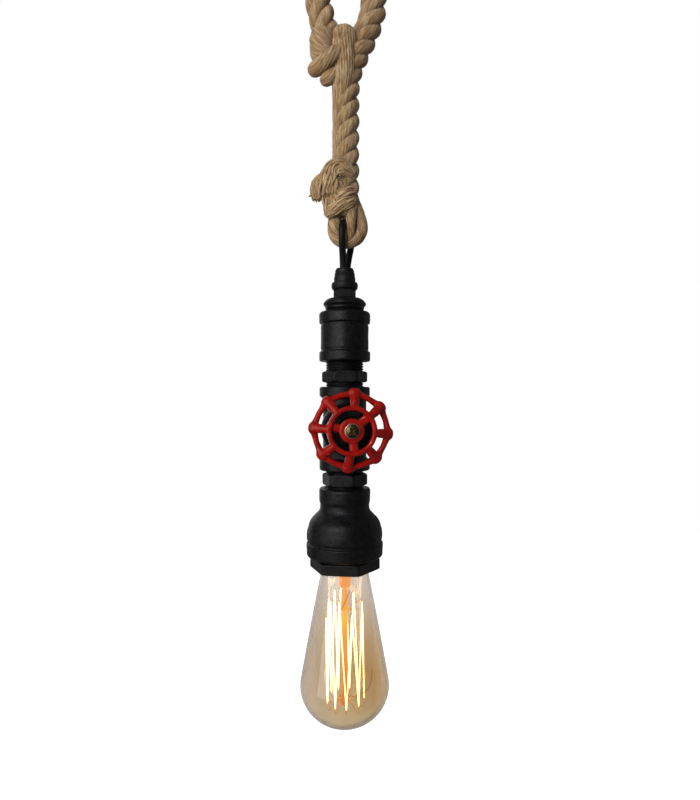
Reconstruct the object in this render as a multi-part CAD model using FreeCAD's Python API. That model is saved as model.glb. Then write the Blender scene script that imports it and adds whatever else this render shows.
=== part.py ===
import FreeCAD, Part
import math
import os
from FreeCAD import Vector

# Pendant lamp made of pipe fittings, hung by a spliced rope.
# Millimetres. The origin is the middle of the ceiling fitting on the ceiling plane, +Z is up,
# and the handwheel faces -Y. The pipe axis is parallel to Z.

# Fits
thread_clearance = 0.12      # radial, between a screwed thread and its bore
running_clearance = 0.06     # radial, the stem in its bonnet and gland
seat_gap = 0.3               # between soft or curved neighbours
bulb_thread_clearance = 0.25  # radial, the bulb cap in the lampholder shell

# Ceiling fitting
canopy_radius = 50.0
canopy_height = 26.0
canopy_wall = 1.5
canopy_corner_radius = 14.0
crossbar_half_length = 42.0
crossbar_width = 18.0
crossbar_thickness = 2.5
crossbar_step = 9.5
crossbar_middle_half = 17.0
crossbar_foot_start = 25.5
screw_spacing = 66.0
screw_slot_length = 12.0
screw_slot_width = 5.0
hook_wire_radius = 3.5
hook_bowl_gap = 0.5          # rope to wire, in the bowl of the hook
hook_shank_straight = 52.0
hook_offset_drop = 10.0
hook_bend_radius = 8.0
hook_tip_rise = 4.0
hook_top_below_ceiling = 3.0
hook_nut_across_flats = 13.0
hook_nut_height = 5.5
canopy_collar_radius = 9.0
canopy_collar_height = 11.0
grommet_place_y = 27.0
grommet_bore_radius = 2.75
grommet_neck_radius = 4.6
grommet_flange_radius = 7.0
grommet_flange_thickness = 1.6

# Rope
rope_radius = 10.0
strand_radius = 4.6
hook_to_ceiling = 80.0       # ceiling down to the middle of the rope in the hook
hook_to_eye = 202.3          # down to the middle of the rope that carries the lamp
eye_rope_radius = 5.5        # the strands drawn tight in the lower eye
eye_bend_radius = 9.5
eye_leg_length = 11.0
eye_side_shift = 0.8         # the eye's middle to the right of the rope
lower_splice_length = 42.0
upper_splice_length = 31.0
standing_length = 53.0
upper_eye_half_width = 20.0
upper_eye_bend_radius = 16.0
splice_neck_radius = 10.6

# Cable
cable_radius = 2.5
cable_arch_radius = 9.0
cable_arch_corners = 4
grip_below_eye = 21.3
grip_leg_rise = 2.0          # straight cable above the grip
pipe_axis_back = 4.0         # the pipe axis stands this far behind the hook: the lamp hangs plumb

# Cord grip
grip_nut_height = 10.1
grip_nut_top_radius = 6.3
grip_nut_radius = 7.9
grip_mouth_radius = 5.6
grip_flange_radius = 9.8
grip_flange_height = 5.5
grip_neck_across_flats = 14.2
grip_neck_height = 6.0
grip_spigot_radius = 6.0
grip_bore_radius = 5.6
grip_seal_height = 7.0
grip_thread_radius = 7.0
grip_thread_length = 9.0

# Domed plug in the top of the coupling
plug_radius = 15.9
plug_top_radius = 9.2
plug_dome_height = 4.7
plug_under_height = 3.2
plug_under_radius = 14.3
plug_neck_height = 2.4
plug_step = 0.45             # depth of the turned steps in the dome

# Threads of the fittings
pipe_thread_radius = 14.0
pipe_thread_pitch = 1.81
pipe_thread_depth = 0.9
pipe_bore_radius = 9.5
screwed_depth = 11.0         # how deep a thread goes into its fitting

# Upper coupling
coupling_length = 36.2
coupling_band_radius = 18.7
coupling_body_radius = 17.7
coupling_waist_radius = 17.4
coupling_waist_round = 20.0
coupling_top_band = 8.6
coupling_bottom_band = 7.2
coupling_bore_radius = 12.0
casting_round = 1.3

# Hex nipples
nipple_across_flats = 29.3
nipple_chamfer = 0.8
upper_nipple_top_thread = 7.3
upper_nipple_hex = 8.1
upper_nipple_bottom_thread = 3.3
upper_nipple_turn_deg = -3.5
lower_nipple_top_thread = 2.5
lower_nipple_hex = 8.5
lower_nipple_bottom_thread = 2.2
lower_nipple_turn_deg = -14.5

# Valve
valve_height = 60.8
valve_band_radius = 18.5
valve_top_band = 6.5
valve_bottom_band = 7.0
valve_body_radius = 15.9
valve_stem_drop = 30.0       # top of the valve down to the stem
valve_chamber_radius = 11.0
boss_band = 8.0
boss_reach = 24.5
boss_bore_radius = 10.0
gasket_radius = 13.4
gasket_thickness = 0.8
bonnet_across_flats = 26.0
bonnet_hex_height = 4.5
bonnet_spigot_length = 6.0
bonnet_neck_radius = 8.0
bonnet_neck_height = 5.5
packing_pocket_radius = 6.2
packing_pocket_depth = 4.0
packing_nut_across_flats = 19.0
packing_nut_height = 6.5
packing_nut_wall = 1.8
stem_radius = 4.0
stem_collar_radius = 6.4
stem_collar_thickness = 2.2
stem_square = 5.6

# Handwheel
wheel_ring_inner = 13.7
wheel_ring_outer = 16.9
wheel_ring_depth = 5.2
wheel_gap = 2.3              # from the packing nut to the hub
hub_radius = 8.3
hub_length = 8.2
hub_recess = 2.0             # hub face behind the front of the ring
arm_width = 5.2
arm_thickness = 4.0
arm_angles_deg = (40.0, 168.0, 277.0)
spoke_count = 8
spoke_first_deg = 40.0
spoke_radius = 2.6
rim_set_back = 6.5           # the rim's plane behind the middle of the ring
tip_circle = 25.7
tip_radius = 3.0
rim_bar_radius = 1.75
wheel_screw_head_radius = 4.7
wheel_screw_head_height = 2.4
wheel_screw_shank_radius = 2.0
wheel_screw_length = 9.0
cross_recess_length = 4.6
cross_recess_width = 1.0
cross_recess_depth = 1.1
washer_radius = 5.6
washer_thickness = 0.8

# Reducer
reducer_length = 49.7
reducer_band_radius = 18.8
reducer_band = 9.4
reducer_neck_radius = 18.0
reducer_slope_start = 14.9
reducer_slope_end = 23.9
reducer_shoulder_radius = 26.0
reducer_body_radius = 27.5
reducer_lower_radius = 28.0
reducer_lower_band = 10.4
rib_width = 4.4
reducer_rib_height = 10.8    # the two ribs above the lower band
reducer_chamber_radius = 22.6
reducer_wall = 3.6
bushing_thread_radius = 20.9
bushing_thread_length = 13.0

# Hex bushing
bushing_gap = 1.5            # thread that shows above the hexagon
bushing_hex = 7.6
bushing_across_flats = 45.2
bushing_chamfer = 0.3
bushing_bore_radius = 18.2
bushing_turn_deg = -13.9

# Lampholder
holder_radius = 17.6
holder_flange_thickness = 2.4
holder_skirt = 17.0          # below the flange
holder_head_radius = 15.0
holder_head_height = 17.0
shell_wall = 0.5
shell_length = 20.0
terminal_place = 8.0
terminal_screw_radius = 2.6
terminal_screw_height = 2.2

# Bulb
bulb_radius = 32.6
bulb_base_depth = 28.7       # the widest place down to the base
bulb_length = 140.2
bulb_glass_wall = 0.8
bulb_neck_radius = 13.2
bulb_cap_thread_radius = 13.1
bulb_cap_root_radius = 12.2
bulb_cap_pitch = 3.6
bulb_cap_length = 19.4
bulb_insulator_height = 2.6
bulb_insulator_top_radius = 6.0
bulb_tip_radius = 4.6
bulb_tip_height = 1.2
bulb_shoulder_deg = 9.2
bulb_side_bulge = 0.2
bulb_collar_radius = 18.0    # where the glass has flared out below the cap
bulb_collar_drop = 9.1
stem_glass_radius = 2.2
stem_flare_height = 7.5
stem_pinch_radius = 4.6
stem_pinch_drop = 18.6       # the cap's rim down to the pinch
stem_bottom_above_base = 13.2
rod_hub_radius = 3.3
rod_hub_height = 4.0
upper_hub_drop = 14.6        # the pinch down to the upper bead
lower_hub_above_base = 16.4
cage_radius = 14.2
cage_top_drop = 24.2         # the pinch down to the top of a loop at the side
cage_top_rise = 21.0         # how much higher a loop at the front or back stands
cage_bottom_above_base = 16.6
cage_loops = 7
cage_span_deg = 330.0
filament_radius = 0.4
support_radius = 0.35
lead_radius = 0.45
lead_spread = 3.0

# Inner cable and wires
inner_cable_side = 2.8       # behind the stem's inner end
inner_cable_pass = 22.0      # straight this far above and below it
core_radius = 1.1
core_spread = 1.25

# Heights, from the ceiling down
bight_z = -hook_to_ceiling
eye_z = bight_z - hook_to_eye
grip_top_z = eye_z - grip_below_eye
grip_flange_z = grip_top_z - grip_nut_height
grip_neck_z = grip_flange_z - grip_flange_height
plug_top_z = grip_neck_z - grip_neck_height
plug_under_z = plug_top_z - plug_dome_height - plug_under_height
coupling_top_z = plug_under_z - plug_neck_height
coupling_bottom_z = coupling_top_z - coupling_length
upper_hex_top_z = coupling_bottom_z - upper_nipple_top_thread
upper_hex_bottom_z = upper_hex_top_z - upper_nipple_hex
valve_top_z = upper_hex_bottom_z - upper_nipple_bottom_thread
valve_bottom_z = valve_top_z - valve_height
stem_z = valve_top_z - valve_stem_drop
lower_hex_top_z = valve_bottom_z - lower_nipple_top_thread
lower_hex_bottom_z = lower_hex_top_z - lower_nipple_hex
reducer_top_z = lower_hex_bottom_z - lower_nipple_bottom_thread
reducer_bottom_z = reducer_top_z - reducer_length
bushing_hex_top_z = reducer_bottom_z - bushing_gap
bushing_bottom_z = bushing_hex_top_z - bushing_hex
bushing_top_z = reducer_bottom_z + bushing_thread_length
holder_flange_top_z = bushing_top_z + holder_flange_thickness
holder_top_z = bushing_top_z + holder_head_height
contact_z = bushing_top_z + 4.2
bulb_tip_z = contact_z - seat_gap
bulb_base_z = bulb_tip_z - bulb_length

up = Vector(0, 0, 1)
turn = 360.0


def at(x, y, z):
    """A point of the model."""
    return Vector(x, y, z)


def disc(radius, bottom, top, x=0.0, y=0.0):
    """An upright cylinder between two heights."""
    return Part.makeCylinder(radius, top - bottom, at(x, y, bottom), up)


def rounded_wire(corners):
    """A closed outline in the XZ plane; each corner is (x, z) or (x, z, round)."""
    points = [at(c[0], 0, c[1]) for c in corners]
    rounds = [c[2] if len(c) > 2 else 0.0 for c in corners]
    count = len(points)
    starts, middles, ends = [], [], []
    for i, here in enumerate(points):
        back = points[i - 1] - here
        ahead = points[(i + 1) % count] - here
        half = back.getAngle(ahead) / 2
        room = 0.45 * min(back.Length, ahead.Length)
        trim = min(rounds[i] / math.tan(half), room) if rounds[i] else 0.0
        radius = trim * math.tan(half)
        back.normalize()
        ahead.normalize()
        starts.append(here + back * trim)
        ends.append(here + ahead * trim)
        inward = back + ahead
        if trim:
            inward.normalize()
            middles.append(here + inward * (radius / math.sin(half) - radius))
        else:
            middles.append(None)
    edges = []
    for i in range(count):
        if middles[i] is not None:
            edges.append(Part.Arc(starts[i], middles[i], ends[i]).toShape())
        after = starts[(i + 1) % count]
        if (after - ends[i]).Length > 1e-6:
            edges.append(Part.LineSegment(ends[i], after).toShape())
    return Part.Wire(edges)


def turned(corners):
    """A body of revolution about Z from its half outline."""
    return Part.Face(rounded_wire(corners)).revolve(at(0, 0, 0), up, turn)


def thread_outline(radius, bottom, top, pitch, depth):
    """Corners of a ridged side, from bottom to top: rings that stand for a screw thread."""
    ridges = max(2, round((top - bottom) / pitch))
    step = (top - bottom) / ridges
    corners = []
    for i in range(ridges):
        low = bottom + i * step
        corners.append((radius - depth, low))
        corners.append((radius, low + 0.5 * step, 0.25 * depth))
    corners.append((radius - depth, top))
    return corners


def threaded_tube(radius, bore, bottom, top, pitch=pipe_thread_pitch, depth=pipe_thread_depth):
    """A tube with a ridged outside."""
    side = thread_outline(radius, bottom, top, pitch, depth)
    return turned([(bore, bottom)] + side + [(bore, top)])


def hexagon(across_flats, bottom, top, turn_deg=0.0, chamfer=0.0):
    """An upright hexagonal block with one flat facing the front, its corners turned off."""
    corner_radius = across_flats / math.sqrt(3)
    corners = []
    for i in range(7):
        angle = math.radians(60 * i + turn_deg)
        corners.append(at(corner_radius * math.cos(angle), corner_radius * math.sin(angle), bottom))
    block = Part.Face(Part.makePolygon(corners)).extrude(at(0, 0, top - bottom))
    if not chamfer:
        return block
    flat = across_flats / 2
    spare = corner_radius + 1
    fall = (spare - flat) * chamfer / (corner_radius - flat)
    cap = turned([
        (0, bottom), (flat, bottom), (spare, bottom + fall),
        (spare, top - fall), (flat, top), (0, top),
    ])
    return block.common(cap)


def facing_front(shape, z):
    """Turns a piece drawn about Z so that its +Z points to the front, at a height."""
    placed = shape.copy()
    placed.rotate(at(0, 0, 0), Vector(1, 0, 0), 90)
    placed.translate(at(0, 0, z))
    return placed


def route_wire(points, radii=None, label=None):
    """Straight runs joined by tangent arcs; a radius is 0.45 of the shorter run unless given."""
    radii = radii or {}
    edges = []
    used = []
    here = points[0]
    for i in range(1, len(points) - 1):
        back = points[i - 1] - points[i]
        ahead = points[i + 1] - points[i]
        half = back.getAngle(ahead) / 2
        shorter = min(back.Length, ahead.Length)
        radius = radii.get(i, 0.45 * shorter * math.tan(half))
        trim = radius / math.tan(half)
        used.append(round(radius, 1))
        back.normalize()
        ahead.normalize()
        start = points[i] + back * trim
        end = points[i] + ahead * trim
        inward = back + ahead
        inward.normalize()
        middle = points[i] + inward * (radius / math.sin(half) - radius)
        if (start - here).Length > 1e-5:
            edges.append(Part.LineSegment(here, start).toShape())
        edges.append(Part.Arc(start, middle, end).toShape())
        here = end
    edges.append(Part.LineSegment(here, points[-1]).toShape())
    wire = Part.Wire(edges)
    if label:
        print(label, "radii", used, "length", round(wire.Length, 1))
    return wire


def tube(points, radius, radii=None, label=None):
    """A round tube along a route; its volume is compared with section times length."""
    wire = route_wire(points, radii, label)
    first = points[1] - points[0]
    section = Part.Wire(Part.makeCircle(radius, points[0], first))
    solid = wire.makePipeShell([section], True, True)
    if label:
        expected = math.pi * radius ** 2 * wire.Length
        print(label, "volume over section times length", round(solid.Volume / expected, 4))
    return solid


def fused(shapes):
    """One solid from touching pieces."""
    whole = shapes[0].multiFuse(shapes[1:])
    return whole.removeSplitter()


def bar(start, end, radius):
    """A round bar between two points."""
    way = end - start
    return Part.makeCylinder(radius, way.Length, start, way)


def on_circle(radius, angle_deg, z=0.0):
    """A point on a circle about Z."""
    angle = math.radians(angle_deg)
    return at(radius * math.cos(angle), radius * math.sin(angle), z)


# Ceiling fitting

def make_canopy():
    """The cup that covers the crossbar, with holes for the hook and the grommet."""
    inner_corner = canopy_corner_radius - canopy_wall
    cup = turned([
        (hook_wire_radius + seat_gap, -canopy_height),
        (canopy_radius, -canopy_height, canopy_corner_radius),
        (canopy_radius, 0),
        (canopy_radius - canopy_wall, 0),
        (canopy_radius - canopy_wall, -canopy_height + canopy_wall, inner_corner),
        (hook_wire_radius + seat_gap, -canopy_height + canopy_wall),
    ])
    hole = disc(grommet_neck_radius, -canopy_height - 1, -canopy_height + canopy_wall + 1, 0, grommet_place_y)
    return cup.cut(hole)


def make_crossbar():
    """The stepped bar that two ceiling screws hold, with a hole for the hook."""
    low = -crossbar_step
    wall = crossbar_thickness
    slope = crossbar_foot_start - crossbar_middle_half
    lean = wall * (math.hypot(slope, crossbar_step) - slope) / crossbar_step
    top_side = [
        (-crossbar_half_length, 0), (-crossbar_foot_start, 0), (-crossbar_middle_half, low),
        (crossbar_middle_half, low), (crossbar_foot_start, 0), (crossbar_half_length, 0),
    ]
    under = [
        (crossbar_half_length, -wall), (crossbar_foot_start + lean, -wall),
        (crossbar_middle_half + lean, low - wall), (-crossbar_middle_half - lean, low - wall),
        (-crossbar_foot_start - lean, -wall), (-crossbar_half_length, -wall),
    ]
    corners = [at(x, -crossbar_width / 2, z) for x, z in top_side + under]
    bar_solid = Part.Face(Part.makePolygon(corners + corners[:1])).extrude(at(0, crossbar_width, 0))
    bar_solid = bar_solid.cut(disc(hook_wire_radius + thread_clearance, low - wall - 1, low + 1))
    half_width = screw_slot_width / 2
    straight = screw_slot_length - screw_slot_width
    for side in (-1, 1):
        middle = side * screw_spacing / 2
        box = Part.makeBox(straight, screw_slot_width, wall + 2,
                           at(middle - straight / 2, -half_width, -wall - 1))
        ends = [disc(half_width, -wall - 1, 1, middle + e * straight / 2, 0) for e in (-1, 1)]
        bar_solid = bar_solid.cut(fused([box] + ends))
    return bar_solid


def make_hook_nuts():
    """Two nuts that clamp the crossbar on the hook's shank."""
    nuts = []
    for bottom in (-crossbar_step, -crossbar_step - crossbar_thickness - hook_nut_height):
        nut = hexagon(hook_nut_across_flats, bottom, bottom + hook_nut_height, 0, 0.8)
        bore = disc(hook_wire_radius + thread_clearance, bottom - 1, bottom + hook_nut_height + 1)
        nuts.append(nut.cut(bore))
    return Part.makeCompound(nuts)


def make_canopy_collar():
    """The screw collar that holds the canopy up against the ceiling."""
    top = -canopy_height
    bottom = top - canopy_collar_height
    bore = hook_wire_radius + thread_clearance
    return turned([
        (bore, bottom), (canopy_collar_radius * 0.62, bottom, 1.0),
        (canopy_collar_radius, bottom + canopy_collar_height * 0.45, 1.5),
        (canopy_collar_radius, top, 0.6), (bore, top),
    ])


def make_cable_grommet():
    """The bush that lines the cable's way into the canopy."""
    low = -canopy_height - grommet_flange_thickness
    high = -canopy_height + canopy_wall + grommet_flange_thickness
    neck = grommet_neck_radius - thread_clearance
    bush = turned([
        (grommet_bore_radius, low), (grommet_flange_radius, low, 0.7),
        (grommet_flange_radius, -canopy_height), (neck, -canopy_height),
        (neck, -canopy_height + canopy_wall), (grommet_flange_radius, -canopy_height + canopy_wall),
        (grommet_flange_radius, high, 0.7), (grommet_bore_radius, high),
    ])
    bush.translate(at(0, grommet_place_y, 0))
    return bush


def make_ceiling_hook():
    """A round-wire hook: shank, side bend and a bowl round the rope."""
    bowl = rope_radius + hook_bowl_gap + hook_wire_radius
    points = [
        at(0, 0, -hook_top_below_ceiling),
        at(0, 0, -hook_shank_straight),
        at(0, bowl, -hook_shank_straight - hook_offset_drop),
        at(0, bowl, bight_z - bowl),
        at(0, -bowl, bight_z - bowl),
        at(0, -bowl, bight_z + hook_tip_rise),
    ]
    radii = {1: hook_bend_radius, 2: hook_bend_radius, 3: bowl, 4: bowl}
    wire = tube(points, hook_wire_radius, radii, "ceiling_hook")
    tip = Part.makeSphere(hook_wire_radius, points[-1])
    return fused([wire, tip])


# Rope

lower_splice_bottom_z = eye_z + eye_bend_radius + eye_leg_length
lower_splice_top_z = lower_splice_bottom_z + lower_splice_length
standing_top_z = lower_splice_top_z + standing_length
upper_splice_top_z = standing_top_z + upper_splice_length


def ellipse_at(x, y, z, half_x, half_y):
    """A level ellipse as a closed wire."""
    if half_x >= half_y:
        curve = Part.Ellipse(at(x, y, z), half_x, half_y)
    else:
        curve = Part.Ellipse(at(x, y + half_y, z), at(x + half_x, y, z), at(x, y, z))
    return Part.Wire(curve.toShape())


def make_rope():
    """The standing part of the rope between its two splices."""
    return disc(rope_radius, lower_splice_top_z, standing_top_z)


def make_upper_splice():
    """The outer shape of the splice under the upper eye, with its two tucked strands.

    Places across the rope are in rope radii and heights are shares of the splice.
    """
    levels = [
        (0.0, 0.0, splice_neck_radius / rope_radius, splice_neck_radius / rope_radius),
        (0.3, -0.2, 1.25, 1.15),
        (0.65, -0.35, 1.9, 1.25),
        (1.0, -0.2, 2.35, 1.1),
    ]

    def place(x, y, share):
        return at(x * rope_radius, y * rope_radius, standing_top_z + share * upper_splice_length)

    sections = []
    for share, x, half_x, half_y in levels:
        centre = place(x, 0, share)
        sections.append(ellipse_at(centre.x, 0, centre.z, half_x * rope_radius, half_y * rope_radius))
    core = Part.makeLoft(sections, True)
    big_end = place(-2.0, -0.4, 0.355)
    small_end = place(-1.5, 0.1, 0.194)
    splice = fused([
        core,
        bar(place(-0.6, -0.9, 0.71), big_end, strand_radius + 1.2),
        bar(small_end, place(-0.6, 0.3, 0.097), strand_radius + 0.6),
        Part.makeSphere(strand_radius + 1.3, big_end),
        Part.makeSphere(strand_radius + 0.7, small_end),
    ])
    return splice.cut(disc(rope_radius + seat_gap, standing_top_z - 2 * rope_radius, standing_top_z))


def upper_eye_points():
    """The eye over the hook, chosen by hand, from the left leg to the right leg."""
    z = upper_splice_top_z
    side = upper_eye_half_width
    wide = 1.05 * side
    bend_z = z + 2.2 * rope_radius
    return [
        at(-1.3 * rope_radius, 0, z), at(-wide, 0, bend_z), at(-side, 0, bight_z),
        at(side, 0, bight_z), at(wide, 0, bend_z), at(1.1 * rope_radius, 0, z),
    ]


def make_upper_eye():
    """The rope's loop over the hook."""
    radii = {2: upper_eye_bend_radius, 3: upper_eye_bend_radius}
    solid = tube(upper_eye_points(), rope_radius, radii, "rope_upper_eye")
    reach = 4 * upper_eye_bend_radius
    below = Part.makeBox(2 * reach, 2 * reach, reach, at(-reach, -reach, upper_splice_top_z - reach))
    return solid.cut(below)


def make_lower_splice():
    """The outer shape of the lower splice and its frayed tail.

    Places across the rope are in rope radii and heights are shares of the splice.
    """
    low = lower_splice_bottom_z
    levels = [
        (0.0, 0.06, 1.52, 1.15),
        (0.16, -0.1, 1.46, 1.24),
        (0.45, -0.18, 1.44, 1.26),
        (0.72, -0.4, 1.46, 1.22),
        (1.0, 0.0, splice_neck_radius / rope_radius, splice_neck_radius / rope_radius),
    ]
    sections = []
    for share, x, half_x, half_y in levels:
        sections.append(ellipse_at(x * rope_radius, 0, low + share * lower_splice_length,
                                   half_x * rope_radius, half_y * rope_radius))
    core = Part.makeLoft(sections, True)
    tail_start = at(-1.2 * rope_radius, -0.3 * rope_radius, low + 0.524 * lower_splice_length)
    tail_end = at(-1.85 * rope_radius, -0.5 * rope_radius, low + 0.417 * lower_splice_length)
    tail_radius = 0.62 * rope_radius
    return fused([core, bar(tail_start, tail_end, tail_radius), Part.makeSphere(tail_radius + 0.1, tail_end)])


def make_lower_eye():
    """The tight loop that carries the lamp."""
    reach = eye_bend_radius
    left = eye_side_shift - reach
    right = eye_side_shift + reach
    top = lower_splice_bottom_z
    points = [at(left, 0, top), at(left, 0, eye_z), at(right, 0, eye_z), at(right, 0, top)]
    return tube(points, eye_rope_radius, {1: reach, 2: reach}, "rope_lower_eye")


# Cable loop and cord grip

grip_leg_front = (-0.6, -2.4)
grip_leg_back = (1.7, 2.4)
seal_top_z = grip_top_z - 1.6
seal_bottom_z = seal_top_z - grip_seal_height


def arch_leave_deg(leg_y):
    """Angle below the arch's middle where a leg that ends at leg_y leaves the arch."""
    drop = grip_below_eye - grip_leg_rise
    reach = math.hypot(leg_y, drop)
    to_tangent = math.degrees(math.acos(cable_arch_radius / reach))
    lean = math.degrees(math.atan2(leg_y, drop))
    return to_tangent + lean - 90


def cable_loop_points():
    """The cable's loop through the eye, chosen by hand, from the front leg to the back leg."""
    front_x, front_y = grip_leg_front[0], grip_leg_front[1] + pipe_axis_back
    back_x, back_y = grip_leg_back[0], grip_leg_back[1] + pipe_axis_back
    start = arch_leave_deg(back_y)
    end = 180 - arch_leave_deg(-front_y)
    step = (end - start) / cable_arch_corners
    corner = cable_arch_radius / math.cos(math.radians(step / 2))
    arch = []
    for i, x in enumerate((3.6, 0.6, -0.5, -0.8)):
        angle = math.radians(start + (i + 0.5) * step)
        arch.append(at(x, corner * math.cos(angle), eye_z + corner * math.sin(angle)))
    arch.reverse()
    bend_z = grip_top_z + grip_leg_rise
    return [
        at(front_x, front_y, seal_bottom_z), at(front_x, front_y, bend_z),
        *arch,
        at(back_x, back_y, bend_z), at(back_x, back_y, seal_bottom_z),
    ]


def make_cable_loop():
    """The cable that carries the lamp in the rope's eye."""
    exit_radius = 5 * cable_radius
    arch_radius = 0.96 * cable_arch_radius
    radii = {1: exit_radius, 2: arch_radius, 3: arch_radius, 4: arch_radius, 5: arch_radius, 6: exit_radius}
    return tube(cable_loop_points(), cable_radius, radii, "cable_loop")


def make_grip_nut():
    """The domed nut that squeezes the seal."""
    top = grip_top_z
    low = grip_flange_z
    nut = turned([
        (grip_mouth_radius, top), (grip_nut_top_radius, top, 0.5),
        (grip_nut_radius - 0.8, top - 3.0, 1.2), (grip_nut_radius - 0.3, top - 4.6),
        (grip_nut_radius - 0.6, top - 4.9), (grip_nut_radius, low + 3.0), (grip_nut_radius, low),
        (grip_spigot_radius + 0.9 + thread_clearance, low),
        (grip_spigot_radius + 0.9 + thread_clearance, seal_top_z),
        (grip_mouth_radius, seal_top_z),
    ])
    return nut


def make_grip_seal():
    """A rubber plug with a hole for each leg of the cable."""
    plug = disc(grip_spigot_radius + 0.7, seal_bottom_z, seal_top_z)
    for x, y in (grip_leg_front, grip_leg_back):
        plug = plug.cut(disc(cable_radius, seal_bottom_z - 1, seal_top_z + 1, x, y))
    return plug


def make_grip_body():
    """Flange, six-sided neck and thread of the cord grip."""
    flange_low = grip_neck_z
    neck_low = plug_top_z
    flange = turned([
        (grip_bore_radius, flange_low), (grip_flange_radius - 0.6, flange_low, 1.4),
        (grip_flange_radius, flange_low + 0.5 * grip_flange_height, 1.6),
        (grip_flange_radius - 0.4, grip_flange_z, 1.4), (grip_bore_radius, grip_flange_z),
    ])
    spigot_top = seal_bottom_z
    spigot = turned([
        (grip_bore_radius, grip_flange_z - 0.5), (grip_spigot_radius + 0.9, grip_flange_z - 0.5),
        (grip_spigot_radius + 0.9, spigot_top), (grip_bore_radius, spigot_top),
    ])
    neck = hexagon(grip_neck_across_flats, neck_low, flange_low + 0.5, 0)
    neck = neck.cut(disc(grip_bore_radius, neck_low - 1, flange_low + 2))
    thread = turned([
        (grip_bore_radius, neck_low - grip_thread_length),
        (grip_thread_radius, neck_low - grip_thread_length),
        (grip_thread_radius, neck_low + 0.5), (grip_bore_radius, neck_low + 0.5),
    ])
    return fused([flange, spigot, neck, thread])


def make_coupling_plug():
    """The domed plug: a stepped dome, an undercut and the thread that goes into the coupling."""
    bore = grip_thread_radius + thread_clearance
    top = plug_top_z
    wide_z = top - plug_dome_height
    low = coupling_top_z - screwed_depth + 3
    rise = plug_dome_height
    run = plug_radius - plug_top_radius
    corners = [(bore, low)]
    corners += thread_outline(pipe_thread_radius, low, plug_under_z, pipe_thread_pitch, pipe_thread_depth)
    corners += [
        (plug_under_radius - 0.6, plug_under_z), (plug_under_radius, plug_under_z + 0.4),
        (plug_under_radius, plug_under_z + 0.5 * plug_under_height, 0.6),
        (plug_radius, wide_z, 0.7),
        (plug_radius - 0.25 * run, wide_z + 0.35 * rise),
        (plug_radius - 0.25 * run - plug_step, wide_z + 0.35 * rise),
        (plug_radius - 0.55 * run, wide_z + 0.68 * rise),
        (plug_radius - 0.55 * run - plug_step, wide_z + 0.68 * rise),
        (plug_top_radius, top, 0.8), (bore, top),
    ]
    return turned(corners)


# Pipe fittings

def make_upper_coupling():
    """A banded socket, screwed at both ends."""
    top = coupling_top_z
    low = coupling_bottom_z
    middle = (top + low) / 2
    band = coupling_band_radius
    body = coupling_body_radius
    bore = pipe_thread_radius + thread_clearance
    return turned([
        (bore, low), (band, low, casting_round), (band, low + coupling_bottom_band, casting_round),
        (body, low + coupling_bottom_band + 1.4, casting_round),
        (coupling_waist_radius, middle, coupling_waist_round),
        (body, top - coupling_top_band - 1.4, casting_round),
        (band, top - coupling_top_band, casting_round), (band, top, casting_round), (bore, top),
        (bore, top - screwed_depth - 1), (coupling_bore_radius, top - screwed_depth - 1),
        (coupling_bore_radius, low + screwed_depth + 1), (bore, low + screwed_depth + 1),
    ])


def make_hex_nipple(hex_bottom, hex_top, thread_above, thread_below, turn_deg):
    """A hexagon between two threads, bored through."""
    upper = threaded_tube(pipe_thread_radius, pipe_bore_radius, hex_top - 0.2,
                          hex_top + thread_above + screwed_depth)
    lower = threaded_tube(pipe_thread_radius, pipe_bore_radius,
                          hex_bottom - thread_below - screwed_depth, hex_bottom + 0.2)
    block = hexagon(nipple_across_flats, hex_bottom, hex_top, turn_deg, nipple_chamfer)
    block = block.cut(disc(pipe_bore_radius, hex_bottom - 1, hex_top + 1))
    return fused([upper, block, lower])


def make_valve_body():
    """The valve's casting: banded ends, a round body and a branch with the same band for the bonnet."""
    top = valve_top_z
    low = valve_bottom_z
    band = valve_band_radius
    body = valve_body_radius
    bore = pipe_thread_radius + thread_clearance
    shape = turned([
        (0, low), (band, low, casting_round), (band, low + valve_bottom_band, casting_round),
        (body, low + valve_bottom_band + 2.4, 2.0), (body, top - valve_top_band - 2.4, 2.0),
        (band, top - valve_top_band, casting_round), (band, top, casting_round), (0, top),
    ])
    boss = turned([
        (0, 0), (body, 0), (body, boss_reach - boss_band - 1.2, 0.8), (band, boss_reach - boss_band, 1.0),
        (band, boss_reach, casting_round), (0, boss_reach),
    ])
    casting = fused([shape, facing_front(boss, stem_z)])
    casting = casting.cut(disc(bore, top - screwed_depth - 1, top + 1))
    casting = casting.cut(disc(bore, low - 1, low + screwed_depth + 1))
    casting = casting.cut(disc(valve_chamber_radius, low, top))
    mouth = facing_front(disc(boss_bore_radius, 0, boss_reach + 1), stem_z)
    return casting.cut(mouth)


bonnet_face = boss_reach + gasket_thickness
bonnet_hex_front = bonnet_face + bonnet_hex_height
bonnet_neck_front = bonnet_hex_front + bonnet_neck_height
packing_nut_front = bonnet_neck_front + packing_nut_wall
hub_back = packing_nut_front + wheel_gap
hub_front = hub_back + hub_length
wheel_front = hub_front + hub_recess
stem_hole = stem_radius + running_clearance


def make_bonnet_gasket():
    """The flat ring between the valve body and its bonnet."""
    inner = boss_bore_radius + seat_gap
    ring = disc(gasket_radius, boss_reach, bonnet_face).cut(disc(inner, 0, bonnet_face + 1))
    return facing_front(ring, stem_z)


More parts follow.
